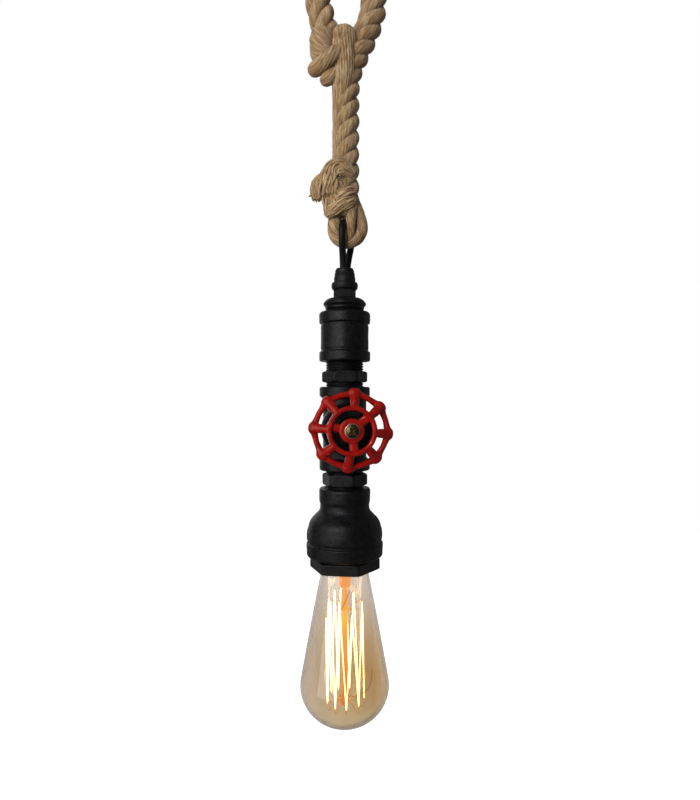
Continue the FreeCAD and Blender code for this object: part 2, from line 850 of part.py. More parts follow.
def make_valve_bonnet():
    """The bonnet: spigot, hexagon, neck and the pocket for the packing."""
    spigot = disc(boss_bore_radius - thread_clearance, bonnet_face - bonnet_spigot_length, bonnet_face + 0.2)
    block = hexagon(bonnet_across_flats, bonnet_face, bonnet_hex_front, 0, nipple_chamfer)
    neck = disc(bonnet_neck_radius, bonnet_hex_front - 0.2, bonnet_neck_front)
    bonnet = fused([spigot, block, neck])
    bonnet = bonnet.cut(disc(stem_hole, 0, wheel_front))
    pocket = disc(packing_pocket_radius, bonnet_neck_front - packing_pocket_depth, wheel_front)
    return facing_front(bonnet.cut(pocket), stem_z)


def make_packing_ring():
    """The soft ring that seals the stem."""
    back = bonnet_neck_front - packing_pocket_depth
    ring = disc(packing_pocket_radius - thread_clearance, back, bonnet_neck_front)
    return facing_front(ring.cut(disc(stem_hole, 0, wheel_front)), stem_z)


def make_packing_nut():
    """The cap nut that presses the packing."""
    back = packing_nut_front - packing_nut_height
    nut = hexagon(packing_nut_across_flats, back, packing_nut_front, 0, nipple_chamfer)
    nut = nut.cut(disc(bonnet_neck_radius + thread_clearance, back - 1, bonnet_neck_front))
    return facing_front(nut.cut(disc(stem_hole, 0, wheel_front)), stem_z)


def make_valve_stem():
    """The stem, its collar behind the bonnet and the square that drives the wheel."""
    collar_front = bonnet_face - bonnet_spigot_length - running_clearance
    collar_back = collar_front - stem_collar_thickness
    shaft = disc(stem_radius, collar_back - 1.0, hub_back - running_clearance)
    collar = disc(stem_collar_radius, collar_back, collar_front)
    square = Part.makeBox(stem_square, stem_square, hub_front - 0.4 - hub_back + 1,
                          at(-stem_square / 2, -stem_square / 2, hub_back - 1))
    stem = fused([shaft, collar, square])
    hole_radius = wheel_screw_shank_radius + thread_clearance
    hole = disc(hole_radius, hub_front - wheel_screw_length - 1, hub_front + 1)
    return facing_front(stem.cut(hole), stem_z)


def make_handwheel():
    """The cast wheel: hub, three arms, a ring, eight spokes that lean back and a rim of bars."""
    front = wheel_front
    middle = front - wheel_ring_depth / 2
    ring = turned([
        (wheel_ring_inner, front - wheel_ring_depth, 1.2), (wheel_ring_outer, front - wheel_ring_depth, 1.2),
        (wheel_ring_outer, front, 1.4), (wheel_ring_inner, front, 1.4),
    ])
    hub = turned([(0, hub_back), (hub_radius, hub_back, 0.8), (hub_radius, hub_front, 1.0), (0, hub_front)])
    pieces = [ring, hub]
    arm_reach = (wheel_ring_inner + wheel_ring_outer) / 2 - hub_radius + 1.5
    for angle in arm_angles_deg:
        arm = Part.makeBox(arm_reach, arm_width, arm_thickness,
                           at(hub_radius - 1.5, -arm_width / 2, hub_front - 0.6 - arm_thickness))
        arm.rotate(at(0, 0, 0), up, angle)
        pieces.append(arm)
    step = turn / spoke_count
    ring_middle = (wheel_ring_inner + wheel_ring_outer) / 2
    rim_plane = middle - rim_set_back
    wheel = fused(pieces)
    for i in range(spoke_count):
        angle = spoke_first_deg + i * step
        tip = on_circle(tip_circle, angle, rim_plane)
        following = on_circle(tip_circle, angle + step, rim_plane)
        knob = Part.makeSphere(tip_radius, at(0, 0, 0))
        knob.rotate(at(0, 0, 0), up, angle + 0.3 * step)
        knob.translate(tip)
        spoke = bar(on_circle(ring_middle, angle, middle), tip, spoke_radius)
        wheel = fused([wheel, fused([knob, spoke])])
        wheel = fused([wheel, bar(tip, following, rim_bar_radius)])
    hollow = stem_square + 2 * running_clearance
    square = Part.makeBox(hollow, hollow, hub_length + 2, at(-hollow / 2, -hollow / 2, hub_back - 1))
    return facing_front(wheel.cut(square), stem_z)


def make_wheel_washer():
    """The washer under the wheel screw."""
    ring = disc(washer_radius, hub_front, hub_front + washer_thickness)
    return facing_front(ring.cut(disc(wheel_screw_shank_radius + seat_gap, hub_back, wheel_front)), stem_z)


def make_wheel_screw():
    """The cross-recessed screw that holds the wheel on its stem."""
    seat = hub_front + washer_thickness
    head = turned([
        (0, seat), (wheel_screw_head_radius, seat), (wheel_screw_head_radius, seat + 1.1, 0.5),
        (wheel_screw_head_radius * 0.55, seat + wheel_screw_head_height, 1.5),
        (0, seat + wheel_screw_head_height),
    ])
    shank = disc(wheel_screw_shank_radius, seat - wheel_screw_length, seat + 0.5)
    screw = fused([head, shank])
    floor = seat + wheel_screw_head_height - cross_recess_depth
    long, narrow = cross_recess_length, cross_recess_width
    for length, width in ((long, narrow), (narrow, long)):
        slot = Part.makeBox(length, width, 2 * cross_recess_depth, at(-length / 2, -width / 2, floor))
        screw = screw.cut(slot)
    return facing_front(screw, stem_z)


def make_reducer():
    """The bell reducer: small band, neck, shoulder, body, large band and two ribs."""
    top = reducer_top_z
    low = reducer_bottom_z
    band = reducer_band_radius
    bore = pipe_thread_radius + thread_clearance
    large_bore = bushing_thread_radius + thread_clearance
    body_low_z = low + reducer_lower_band
    roof_z = top - reducer_slope_start
    chamber_top_z = top - reducer_slope_end - reducer_wall
    shape = turned([
        (bore, top), (band, top, casting_round), (band, top - reducer_band, casting_round),
        (reducer_neck_radius, top - reducer_band - 1.6, 1.0),
        (reducer_neck_radius, top - reducer_slope_start, 6),
        (reducer_shoulder_radius, top - reducer_slope_end, 4.5),
        (reducer_body_radius, body_low_z + 1.2, 1.0), (reducer_lower_radius, body_low_z, 0.8),
        (reducer_lower_radius, low + 1.2, 1.0), (reducer_lower_radius - 1.4, low, 0.6),
        (large_bore, low), (large_bore, holder_flange_top_z + seat_gap),
        (reducer_chamber_radius, holder_flange_top_z + seat_gap + 1.5),
        (reducer_chamber_radius, chamber_top_z, 3),
        (bore, roof_z - 2),
    ])
    reach = reducer_lower_radius + 1
    rib_top_z = body_low_z + reducer_rib_height
    ribs = Part.makeBox(2 * reach, rib_width, reducer_rib_height + 0.5,
                        at(-reach, -rib_width / 2, body_low_z - 0.5))
    ribs = ribs.common(disc(reducer_lower_radius, low, rib_top_z))
    return fused([shape, ribs.cut(disc(reducer_chamber_radius + 1, low, top))])


def make_hex_bushing():
    """The bushing that closes the reducer and carries the lampholder."""
    thread = threaded_tube(bushing_thread_radius, bushing_bore_radius, bushing_hex_top_z - 0.2,
                           bushing_top_z, 2.3, 1.0)
    block = hexagon(bushing_across_flats, bushing_bottom_z, bushing_hex_top_z, bushing_turn_deg,
                    bushing_chamfer)
    block = block.cut(disc(bushing_bore_radius, bushing_bottom_z - 1, bushing_hex_top_z + 1))
    return fused([thread, block])


# Lampholder

shell_inner = bulb_cap_thread_radius + bulb_thread_clearance
shell_outer = shell_inner + shell_wall
cavity_radius = shell_outer + 0.75 + seat_gap


def make_holder_body():
    """The insulating body: skirt, clamped flange and head with two wire ways."""
    low = bushing_top_z - holder_skirt
    flange = bushing_thread_radius - 0.4
    top = holder_top_z
    floor = contact_z + 1.4
    body = turned([
        (cavity_radius, low), (holder_radius, low, 0.6), (holder_radius, bushing_top_z),
        (flange, bushing_top_z), (flange, holder_flange_top_z),
        (holder_head_radius + 1, holder_flange_top_z), (holder_head_radius, top, 2),
        (0, top), (0, floor), (cavity_radius, floor),
    ])
    for side in (-1, 1):
        body = body.cut(disc(core_radius + seat_gap, floor - 1, top + 1, side * terminal_place, 0))
    return body


def make_holder_shell():
    """The screwed metal shell, as rings with the pitch of the bulb's thread."""
    top = contact_z + 1.2
    low = top - shell_length
    rings = max(2, round((shell_length - 2) / bulb_cap_pitch))
    step = (shell_length - 2) / rings
    outer = [(shell_outer, low)]
    inner = [(shell_inner, low)]
    for i in range(rings):
        z = low + 1 + i * step
        outer += [(shell_outer, z), (shell_outer + 0.75, z + step / 2, 0.5)]
        inner += [(shell_inner, z), (shell_inner + 0.75, z + step / 2, 0.5)]
    outer += [(shell_outer, top - 1), (shell_outer, top)]
    inner += [(shell_inner, top - 1), (shell_inner, top)]
    return turned(outer + inner[::-1])


def make_holder_contact():
    """The centre contact strip under the floor of the body."""
    strip = Part.makeBox(2 * bulb_tip_radius, 5, 1.2, at(-bulb_tip_radius, -2.5, contact_z))
    return strip


def make_terminal_screws():
    """The two screws that clamp the wires, on top of the body."""
    screws = []
    for side in (-1, 1):
        head = disc(terminal_screw_radius, holder_top_z, holder_top_z + terminal_screw_height,
                    side * terminal_place * 0.6, 6.5)
        slot = Part.makeBox(2 * terminal_screw_radius + 1, 0.7, 1.0,
                            at(side * terminal_place * 0.6 - terminal_screw_radius - 0.5, 6.15,
                               holder_top_z + terminal_screw_height - 0.9))
        screws.append(head.cut(slot))
    return Part.makeCompound(screws)


# Inner cable and wires

cable_end_z = holder_top_z + 12.0


def make_inner_cable():
    """The cable inside the fittings, past the stem's inner end, down to the lampholder."""
    x, y = grip_leg_front
    points = [
        at(x, y, seal_bottom_z), at(x, y, plug_top_z - 4),
        at(0, inner_cable_side, stem_z + inner_cable_pass),
        at(0, inner_cable_side, stem_z - inner_cable_pass),
        at(0, 0, cable_end_z + 12), at(0, 0, cable_end_z),
    ]
    return tube(points, cable_radius, None, "inner_cable")


def make_core(side, label):
    """One wire, from the end of the cable to its way into the lampholder."""
    points = [
        at(side * core_spread, 0, cable_end_z), at(side * core_spread, 0, cable_end_z - 3),
        at(side * terminal_place, 0, holder_top_z + 3), at(side * terminal_place, 0, contact_z + 3),
    ]
    return tube(points, core_radius, None, label)


# Bulb

cap_top_z = bulb_tip_z - bulb_tip_height - bulb_insulator_height
cap_bottom_z = cap_top_z - bulb_cap_length
pinch_z = cap_bottom_z - stem_pinch_drop
upper_hub_z = pinch_z - upper_hub_drop
lower_hub_z = bulb_base_z + lower_hub_above_base


def bulb_outline(inset):
    """Side of the envelope from the neck to the base, inset by the wall: flare, arc and elliptical end."""
    centre_z = bulb_base_z + bulb_base_depth
    radius = bulb_radius - inset
    depth = bulb_base_depth - inset
    angle = math.radians(bulb_shoulder_deg)
    neck = at(bulb_neck_radius - inset, 0, cap_bottom_z)
    collar = at(bulb_collar_radius - inset, 0, cap_bottom_z - bulb_collar_drop)
    meet = at(radius * math.cos(angle), 0, centre_z + depth * math.sin(angle))
    chord = meet - collar
    outward = Vector(-chord.z, 0, chord.x)
    outward.normalize()
    middle = (collar + meet) * 0.5 + outward * bulb_side_bulge
    side = Part.Arc(collar, middle, meet).toShape()
    down = side.tangentAt(side.FirstParameter)
    handle = 0.4 * bulb_collar_drop
    flare = Part.BezierCurve()
    flare.setPoles([neck, neck + Vector(0.8, 0, -0.6) * handle, collar - down * handle, collar])
    base = at(0, 0, centre_z - depth)
    reach = 4 / 3 * math.tan((math.pi / 2 + angle) / 4)
    downward = at(radius * math.sin(angle), 0, -depth * math.cos(angle))
    round_end = Part.BezierCurve()
    round_end.setPoles([meet, meet + downward * reach, base + at(radius, 0, 0) * reach, base])
    return neck, base, [flare.toShape(), side, round_end.toShape()]


def make_bulb_glass():
    """The blown envelope, open at the neck, where the cap and the glass stem close it."""
    neck, base, edges = bulb_outline(0.0)
    inner_neck, inner_base, inner_edges = bulb_outline(bulb_glass_wall)
    edges.append(Part.LineSegment(base, inner_base).toShape())
    edges.extend(inner_edges[::-1])
    edges.append(Part.LineSegment(inner_neck, neck).toShape())
    outline = Part.Wire(Part.__sortEdges__(edges))
    return Part.Face(outline).revolve(at(0, 0, 0), up, turn)


def make_cap_shell():
    """The bulb's threaded cap."""
    wall = 0.4
    side = thread_outline(bulb_cap_thread_radius, cap_bottom_z + 2.0, cap_top_z - 2.0, bulb_cap_pitch,
                          bulb_cap_thread_radius - bulb_cap_root_radius)
    inner = bulb_cap_root_radius - wall
    rim = [
        (bulb_cap_root_radius - 0.6, cap_top_z, 0.5), (inner - 2.5, cap_top_z),
        (inner - 2.5, cap_top_z - wall), (inner, cap_top_z - 1.6),
    ]
    return turned([(inner, cap_bottom_z), (bulb_cap_thread_radius, cap_bottom_z)] + side + rim)


def make_cap_insulator():
    """The glass insulator between the shell and the tip."""
    wide = bulb_cap_root_radius - 1.8
    return turned([
        (0, cap_top_z), (wide, cap_top_z),
        (bulb_insulator_top_radius, cap_top_z + bulb_insulator_height, 0.8),
        (0, cap_top_z + bulb_insulator_height),
    ])


def make_tip_contact():
    """The soldered tip."""
    low = cap_top_z + bulb_insulator_height
    return turned([(0, low), (bulb_tip_radius, low), (bulb_tip_radius, low + bulb_tip_height, 0.6),
                   (0, low + bulb_tip_height)])


def make_bulb_stem():
    """The flared glass stem: pinch, long rod and the two beads that hold the hooks."""
    flare = bulb_neck_radius - bulb_glass_wall - seat_gap
    flare_low = cap_bottom_z - stem_flare_height
    bottom = bulb_base_z + stem_bottom_above_base
    corners = [
        (0, cap_bottom_z), (flare, cap_bottom_z), (flare, cap_bottom_z - 1),
        (stem_pinch_radius, flare_low, 4), (stem_pinch_radius, pinch_z + 2.5, 1),
        (stem_glass_radius, pinch_z, 1),
    ]
    for middle in (upper_hub_z, lower_hub_z):
        half = rod_hub_height / 2
        corners += [
            (stem_glass_radius, middle + half), (rod_hub_radius, middle + half - 0.9, 0.5),
            (rod_hub_radius, middle - half + 0.9, 0.5), (stem_glass_radius, middle - half),
        ]
    corners += [(stem_glass_radius, bottom, 0.8), (0, bottom)]
    return turned(corners)


def cage_angle_deg(i):
    """Direction of a corner of the filament; the middle bottom corner faces the front."""
    return 270 - cage_span_deg / 2 + i * cage_span_deg / (2 * cage_loops)


def cage_corner(i):
    """A corner of the filament's zigzag round the cage: even ones above, odd ones below."""
    angle = cage_angle_deg(i)
    level = bulb_base_z + cage_bottom_above_base
    if i % 2 == 0:
        level = pinch_z - cage_top_drop + cage_top_rise * abs(math.sin(math.radians(angle)))
    return on_circle(cage_radius, angle, level)


def make_filament():
    """The squirrel-cage filament: straight lengths between the upper and the lower hooks."""
    corners = [cage_corner(i) for i in range(2 * cage_loops + 1)]
    pieces = [bar(a, b, filament_radius) for a, b in zip(corners, corners[1:])]
    pieces += [Part.makeSphere(1.15 * filament_radius, corner) for corner in corners]
    return fused(pieces)


def make_supports():
    """The wire hooks that stand out of the two beads and end inside the filament's corners."""
    wires = []
    hook_circle = cage_radius - filament_radius - 1.3 * support_radius - 0.1
    for i in range(2 * cage_loops + 1):
        level = lower_hub_z if i % 2 else upper_hub_z
        angle = cage_angle_deg(i)
        start = on_circle(rod_hub_radius + 0.3, angle, level)
        end = on_circle(hook_circle, angle, cage_corner(i).z)
        tip = Part.makeSphere(1.2 * support_radius, end)
        wires.append(fused([bar(start, end, support_radius), tip]))
    return Part.makeCompound(wires)


def make_bulb_leads():
    """The two lead wires from the pinch to the ends of the filament, and the stay across the rod."""
    low = pinch_z - lead_radius
    wires = []
    lead_circle = cage_radius - filament_radius - 2 * lead_radius
    for side, i in ((-1, 0), (1, 2 * cage_loops)):
        start = at(side * lead_spread, 0.5, low)
        end = on_circle(lead_circle, cage_angle_deg(i), cage_corner(i).z + 1.5)
        tip = Part.makeSphere(1.2 * lead_radius, end)
        wires.append(fused([bar(start, end, lead_radius), tip]))
    clear = rod_hub_radius + lead_radius + 0.1
    stay_start = at(lead_spread, -clear, low)
    stay_end = at(-lead_spread, -clear, upper_hub_z)
    wires.append(bar(stay_start, stay_end, 0.8 * lead_radius))
    return Part.makeCompound(wires)


nodes = {
    "canopy": make_canopy(),
    "crossbar": make_crossbar(),
    "ceiling_hook": make_ceiling_hook(),
    "hook_nuts": make_hook_nuts(),
    "canopy_collar": make_canopy_collar(),
    "cable_grommet": make_cable_grommet(),
    "rope": make_rope(),
    "rope_upper_splice": make_upper_splice(),
    "rope_upper_eye": make_upper_eye(),
    "rope_lower_splice": make_lower_splice(),
    "rope_lower_eye": make_lower_eye(),
    "cable_loop": make_cable_loop(),
    "cord_grip_nut": make_grip_nut(),
    "cord_grip_seal": make_grip_seal(),
    "cord_grip_body": make_grip_body(),
    "coupling_plug": make_coupling_plug(),
    "upper_coupling": make_upper_coupling(),
    "upper_hex_nipple": make_hex_nipple(upper_hex_bottom_z, upper_hex_top_z, upper_nipple_top_thread,
                                        upper_nipple_bottom_thread, upper_nipple_turn_deg),
    "valve_body": make_valve_body(),
    "bonnet_gasket": make_bonnet_gasket(),
    "valve_bonnet": make_valve_bonnet(),
    "packing_ring": make_packing_ring(),
    "packing_nut": make_packing_nut(),
    "valve_stem": make_valve_stem(),
    "handwheel": make_handwheel(),
    "wheel_washer": make_wheel_washer(),
    "wheel_screw": make_wheel_screw(),
    "lower_hex_nipple": make_hex_nipple(lower_hex_bottom_z, lower_hex_top_z, lower_nipple_top_thread,
                                        lower_nipple_bottom_thread, lower_nipple_turn_deg),
    "reducer": make_reducer(),
    "hex_bushing": make_hex_bushing(),
    "lampholder_body": make_holder_body(),
    "lampholder_shell": make_holder_shell(),
    "lampholder_contact": make_holder_contact(),
    "terminal_screws": make_terminal_screws(),
    "inner_cable": make_inner_cable(),
    "live_wire": make_core(-1, "live_wire"),
    "neutral_wire": make_core(1, "neutral_wire"),
    "bulb_glass": make_bulb_glass(),
    "bulb_cap_shell": make_cap_shell(),
    "bulb_cap_insulator": make_cap_insulator(),
    "bulb_tip_contact": make_tip_contact(),
    "bulb_stem": make_bulb_stem(),
    "bulb_lead_wires": make_bulb_leads(),
    "bulb_supports": make_supports(),
    "bulb_filament": make_filament(),
}

# The cable loop is drawn where it lies; the ceiling fitting and the rope stand on the hook's line.
on_hook_line = (
    "canopy", "crossbar", "ceiling_hook", "hook_nuts", "canopy_collar", "cable_grommet", "cable_loop",
)
for name, shape in nodes.items():
    if name not in on_hook_line and not name.startswith("rope"):
        shape.translate(at(0, pipe_axis_back, 0))

os.makedirs("parts", exist_ok=True)
for name, shape in nodes.items():
    shape.exportStep(os.path.join("parts", name + ".step"))
    if not shape.isValid():
        print("not valid:", name)
print(len(nodes), "nodes")
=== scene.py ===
"""Looks of a pendant lamp of black pipe fittings, a red valve wheel and a filament bulb on a rope.

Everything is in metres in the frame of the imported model; sizes are written in millimetres and
turned by MM. Up is +Z and the handwheel faces -Y.
"""

import logging
import math
from collections.abc import Sequence
from dataclasses import dataclass
from enum import Enum

import bpy
import numpy as np
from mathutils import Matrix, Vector


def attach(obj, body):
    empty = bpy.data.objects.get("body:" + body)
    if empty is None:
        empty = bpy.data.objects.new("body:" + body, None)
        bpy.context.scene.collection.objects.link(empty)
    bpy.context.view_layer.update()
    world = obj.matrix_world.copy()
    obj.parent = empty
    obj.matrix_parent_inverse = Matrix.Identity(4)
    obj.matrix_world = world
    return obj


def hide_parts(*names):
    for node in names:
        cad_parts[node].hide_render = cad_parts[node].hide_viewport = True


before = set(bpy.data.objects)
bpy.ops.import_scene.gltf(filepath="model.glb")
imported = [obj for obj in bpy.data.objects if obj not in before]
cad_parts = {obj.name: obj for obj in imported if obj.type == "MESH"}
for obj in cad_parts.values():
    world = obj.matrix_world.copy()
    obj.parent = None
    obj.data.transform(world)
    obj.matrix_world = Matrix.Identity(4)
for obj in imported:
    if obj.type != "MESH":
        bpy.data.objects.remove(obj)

MM = 0.001
TURN = 2 * math.pi
Point = tuple[float, float, float]
Span = tuple[float, float]
Object = bpy.types.Object
Tree = bpy.types.NodeTree
Node = bpy.types.Node
Socket = bpy.types.NodeSocket
log = logging.getLogger("pendant_lamp")
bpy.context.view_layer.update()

# Large odd numbers that scatter the corners of a lattice over the whole range of integers.
SCATTER_AXES = (73856093, 19349663, 83492791)
SCATTER_SEED = 2654435761
SCATTER_MIX = 1274126177

AXIS_GAP = 0.01  # radius in millimetres where a turned surface ends at its axis


class Body(Enum):
    """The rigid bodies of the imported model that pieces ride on."""

    ROPE = "hanging_rope"
    LAMP = "lamp_body"
    WHEEL = "valve_wheel"
    BULB = "light_bulb"


# Arrays and meshes


def linear(code: str) -> tuple[float, float, float, float]:
    """Turns an sRGB hex colour to linear light.

    Args:
        code: Six hex digits after a hash sign.

    Returns:
        Red, green, blue and alpha 1.
    """
    parts = [int(code[i:i + 2], 16) / 255 for i in (1, 3, 5)]
    light = [c / 12.92 if c <= 0.04045 else ((c + 0.055) / 1.055) ** 2.4 for c in parts]
    return (light[0], light[1], light[2], 1.0)


def unit(rows: np.ndarray) -> np.ndarray:
    """Scales each vector to length 1."""
    return rows / np.maximum(np.linalg.norm(rows, axis=-1, keepdims=True), 1e-12)


def smooth_step(low: float, high: float, x: np.ndarray) -> np.ndarray:
    """Rises from 0 at low to 1 at high along 3t^2 - 2t^3."""
    t = np.clip((x - low) / (high - low), 0.0, 1.0)
    return t * t * (3 - 2 * t)


def lumps(points: np.ndarray, cell: float, seed: int) -> np.ndarray:
    """Smooth random lumps: a random number at each corner of a cubic lattice, blended between them.

    Args:
        points: Places, as rows of three numbers in millimetres.
        cell: Spacing of the lattice in millimetres.
        seed: Which set of random numbers.

    Returns:
        One value from -1 to 1 for each place.
    """
    place = points / cell
    base = np.floor(place).astype(np.int64)
    part = place - base
    part = part * part * (3 - 2 * part)
    total = np.zeros(points.shape[:-1])
    for corner in np.ndindex(2, 2, 2):
        at = base + np.array(corner)
        key = np.bitwise_xor.reduce(at * np.array(SCATTER_AXES), axis=-1) ^ (seed * SCATTER_SEED)
        key = (key ^ (key >> 13)) * SCATTER_MIX
        value = ((key ^ (key >> 16)) & 0xFFFF) / 32767.5 - 1
        share = np.prod(np.where(np.array(corner) == 1, part, 1 - part), axis=-1)
        total += share * value
    return total


def outline(corners: Sequence[tuple[float, ...]], closed: bool = True, steps: int = 5) -> np.ndarray:
    """A profile with rounded corners.

    Each corner is (radius, height) or (radius, height, cut). A cut replaces the corner with a
    parabola that starts and ends that far from it, at most 0.48 of the side.

    Args:
        corners: The corners in order, in millimetres.
        closed: Whether the last corner joins the first.
        steps: Points on each parabola.

    Returns:
        Rows of (radius, height).
    """
    place = np.array([c[:2] for c in corners], float)
    cuts = [c[2] if len(c) > 2 else 0.0 for c in corners]
    count = len(place)
    rows: list[np.ndarray] = []
    for i in range(count):
        here = place[i]
        if not cuts[i] or (not closed and i in (0, count - 1)):
            rows.append(here[None])
            continue
        back = place[i - 1] - here
        ahead = place[(i + 1) % count] - here
        cut_back = min(cuts[i] / np.linalg.norm(back), 0.48)
        cut_ahead = min(cuts[i] / np.linalg.norm(ahead), 0.48)
        t = np.linspace(0, 1, steps)[:, None]
        start = here + back * cut_back
        end = here + ahead * cut_ahead
        rows.append((1 - t) ** 2 * start + 2 * t * (1 - t) * here + t ** 2 * end)
    return np.concatenate(rows)


def spread(line: np.ndarray, step: float, closed: bool = True) -> np.ndarray:
    """Adds points to the long sides of a profile so that none is longer than step.

    Args:
        line: Rows of (radius, height) in millimetres.
        step: The longest side that is left, in millimetres.
        closed: Whether the last row joins the first.

    Returns:
        Rows of (radius, height).
    """
    after = np.roll(line, -1, axis=0) if closed else line[1:]
    before = line if closed else line[:-1]
    rows = []
    for a, b in zip(before, after):
        parts = max(1, math.ceil(float(np.linalg.norm(b - a)) / step))
        rows.append(a + (b - a) * (np.arange(parts) / parts)[:, None])
    if not closed:
        rows.append(line[-1:])
    return np.concatenate(rows)


def mesh_object(name: str, points: np.ndarray, faces: list[list[int]], smooth: bool = True) -> Object:
    """Makes an object from points and faces and puts it into the scene.

    Args:
        name: The object's name.
        points: Rows of three numbers, in metres.
        faces: Rows of indexes.
        smooth: Whether its faces are shaded smooth.

    Returns:
        The new object.
    """
    mesh = bpy.data.meshes.new(name)
    mesh.from_pydata(points.tolist(), [], faces)
    mesh.polygons.foreach_set("use_smooth", np.full(len(mesh.polygons), smooth))
    mesh.update()
    obj = bpy.data.objects.new(name, mesh)
    bpy.context.collection.objects.link(obj)
    return obj


@dataclass
class Skin:
    """A surface given as a grid of points, rows along it and columns round it.

    The columns close on each other. The rows close on each other too if ring is set, and
    otherwise each end is closed with a fan round its middle.
    """

    rows: np.ndarray
    ring: bool = False
    uv: np.ndarray | None = None
    # painted shade at each point, from 0 to 1
    shade: np.ndarray | None = None

    def faces(self) -> list[list[int]]:
        """Four-sided faces between neighbouring points, and the two fans.

        Returns:
            Rows of indexes into the points.
        """
        n, m = self.rows.shape[:2]
        index = np.arange(n * m).reshape(n, m)
        last = n if self.ring else n - 1
        here = index[:last]
        above = np.roll(index, -1, axis=0)[:last]
        quads = np.stack([here, np.roll(here, -1, axis=1), np.roll(above, -1, axis=1), above], axis=-1)
        found = quads.reshape(-1, 4).tolist()
        if not self.ring:
            low = np.stack([np.full(m, n * m), np.roll(index[0], -1), index[0]], axis=-1)
            high = np.stack([np.full(m, n * m + 1), index[-1], np.roll(index[-1], -1)], axis=-1)
            found += low.tolist() + high.tolist()
        return found

    def points(self) -> np.ndarray:
        """The grid's points, then the middles of its two ends.

        Returns:
            Rows of three numbers.
        """
        flat = self.rows.reshape(-1, 3)
        if self.ring:
            return flat
        return np.concatenate([flat, self.rows[0].mean(0)[None], self.rows[-1].mean(0)[None]])


def join_skins(name: str, skins: Sequence[Skin], smooth: bool = True) -> Object:
    """Puts several skins into one mesh, with their UV maps and their painted shade.

    Args:
        name: The object's name.
        skins: Surfaces in millimetres.
        smooth: Whether the faces are shaded smooth.

    Returns:
        The new object, in metres.
    """
    points, faces, shades, uvs = [], [], [], []
    offset = 0
    for skin in skins:
        p = skin.points()
        f = skin.faces()
        points.append(p)
        faces += [[i + offset for i in face] for face in f]
        offset += len(p)
        if skin.shade is not None:
            tail = [] if skin.ring else [skin.shade[0].mean(), skin.shade[-1].mean()]
            shades.append(np.concatenate([skin.shade.ravel(), tail]))
        if skin.uv is not None:
            uvs.append(corner_uv(skin))
    obj = mesh_object(name, np.concatenate(points) * MM, faces, smooth)
    if shades:
        # The painted shade becomes a point attribute for the jute's material.
        layer = obj.data.attributes.new("painted_shade", "FLOAT", "POINT")
        layer.data.foreach_set("value", np.concatenate(shades).astype(np.float32))
    if uvs:
        layer = obj.data.uv_layers.new(name="along")
        layer.data.foreach_set("uv", np.concatenate(uvs).astype(np.float32).ravel())
    return obj


def corner_uv(skin: Skin) -> np.ndarray:
    """The UV of each face corner; skin.uv has one more column than the grid, for the seam.

    Args:
        skin: An open surface whose uv rows give (across, along) in millimetres.

    Returns:
        Rows of two numbers in the order of the face corners.
    """
    n, m = skin.rows.shape[:2]
    uv = skin.uv
    quads = np.stack([uv[:n - 1, :m], uv[:n - 1, 1:], uv[1:, 1:], uv[1:, :m]], axis=2).reshape(-1, 2)
    low = np.stack([(uv[0, :m] + uv[0, 1:]) / 2, uv[0, 1:], uv[0, :m]], axis=1).reshape(-1, 2)
    high = np.stack([(uv[-1, :m] + uv[-1, 1:]) / 2, uv[-1, :m], uv[-1, 1:]], axis=1).reshape(-1, 2)
    return np.concatenate([quads, low, high])


def turns(columns: int) -> np.ndarray:
    """The angles of columns that stand evenly round one turn."""
    return np.arange(columns) * TURN / columns


def polar(r: np.ndarray, angle: np.ndarray, z: np.ndarray) -> np.ndarray:
    """Points (r cos a, r sin a, z) of arrays that stretch to one shape."""
    return np.stack(np.broadcast_arrays(r * np.cos(angle), r * np.sin(angle), z), axis=-1)


def spun(line: np.ndarray, columns: int, at: Point = (0, 0, 0)) -> np.ndarray:
    """Turns a profile about the vertical.

    Args:
        line: Rows of (radius, height).
        columns: Points round the axis.
        at: Where the axis stands.

    Returns:
        A grid of points whose columns run clockwise for a profile that climbs outside.
    """
    return polar(line[:, :1], turns(columns), line[:, 1:]) + np.array(at)


def facing_front(grid: np.ndarray, centre: Point) -> np.ndarray:
    """Turns a piece worked out about Z so that its +Z points to the front, and moves it.

    Args:
        grid: Points in millimetres.
        centre: The point of the turned axis at height 0.

    Returns:
        The points (x, -z, y) plus the centre.
    """
    return np.stack([grid[..., 0], -grid[..., 2], grid[..., 1]], axis=-1) + np.array(centre)


# Routes of cords and wires


def route_line(points: Sequence[Point], resolution: int = 24) -> np.ndarray:
    """Points along the smooth line of a route, read from its NURBS spline of order 3.

    Args:
        points: The route's own points, in millimetres.
        resolution: Points for each span.

    Returns:
        Rows of three numbers, in millimetres.
    """
    data = bpy.data.curves.new("route", "CURVE")
    lay_route(data, points)
    data.resolution_u = resolution
    holder = bpy.data.objects.new("route", data)
    mesh = bpy.data.meshes.new_from_object(holder)
    line = np.empty(len(mesh.vertices) * 3, np.float32)
    mesh.vertices.foreach_get("co", line)
    bpy.data.objects.remove(holder)
    bpy.data.curves.remove(data)
    bpy.data.meshes.remove(mesh)
    return line.reshape(-1, 3).astype(float) / MM


def lay_route(data: bpy.types.Curve, points: Sequence[Point]) -> None:
    """Gives a curve one open NURBS spline through the route's points as its control points.

    Args:
        data: The curve.
        points: The route's points, in millimetres.
    """
    data.dimensions = "3D"
    spline = data.splines.new("NURBS")
    spline.points.add(len(points) - 1)
    flat = np.column_stack([np.array(points, float) * MM, np.ones(len(points))])
    spline.points.foreach_set("co", flat.astype(np.float32).ravel())
    spline.order_u = 3
    spline.use_endpoint_u = True


def along(line: np.ndarray) -> np.ndarray:
    """Distance from the start to each point of a line."""
    return np.concatenate([[0], np.cumsum(np.linalg.norm(np.diff(line, axis=0), axis=1))])


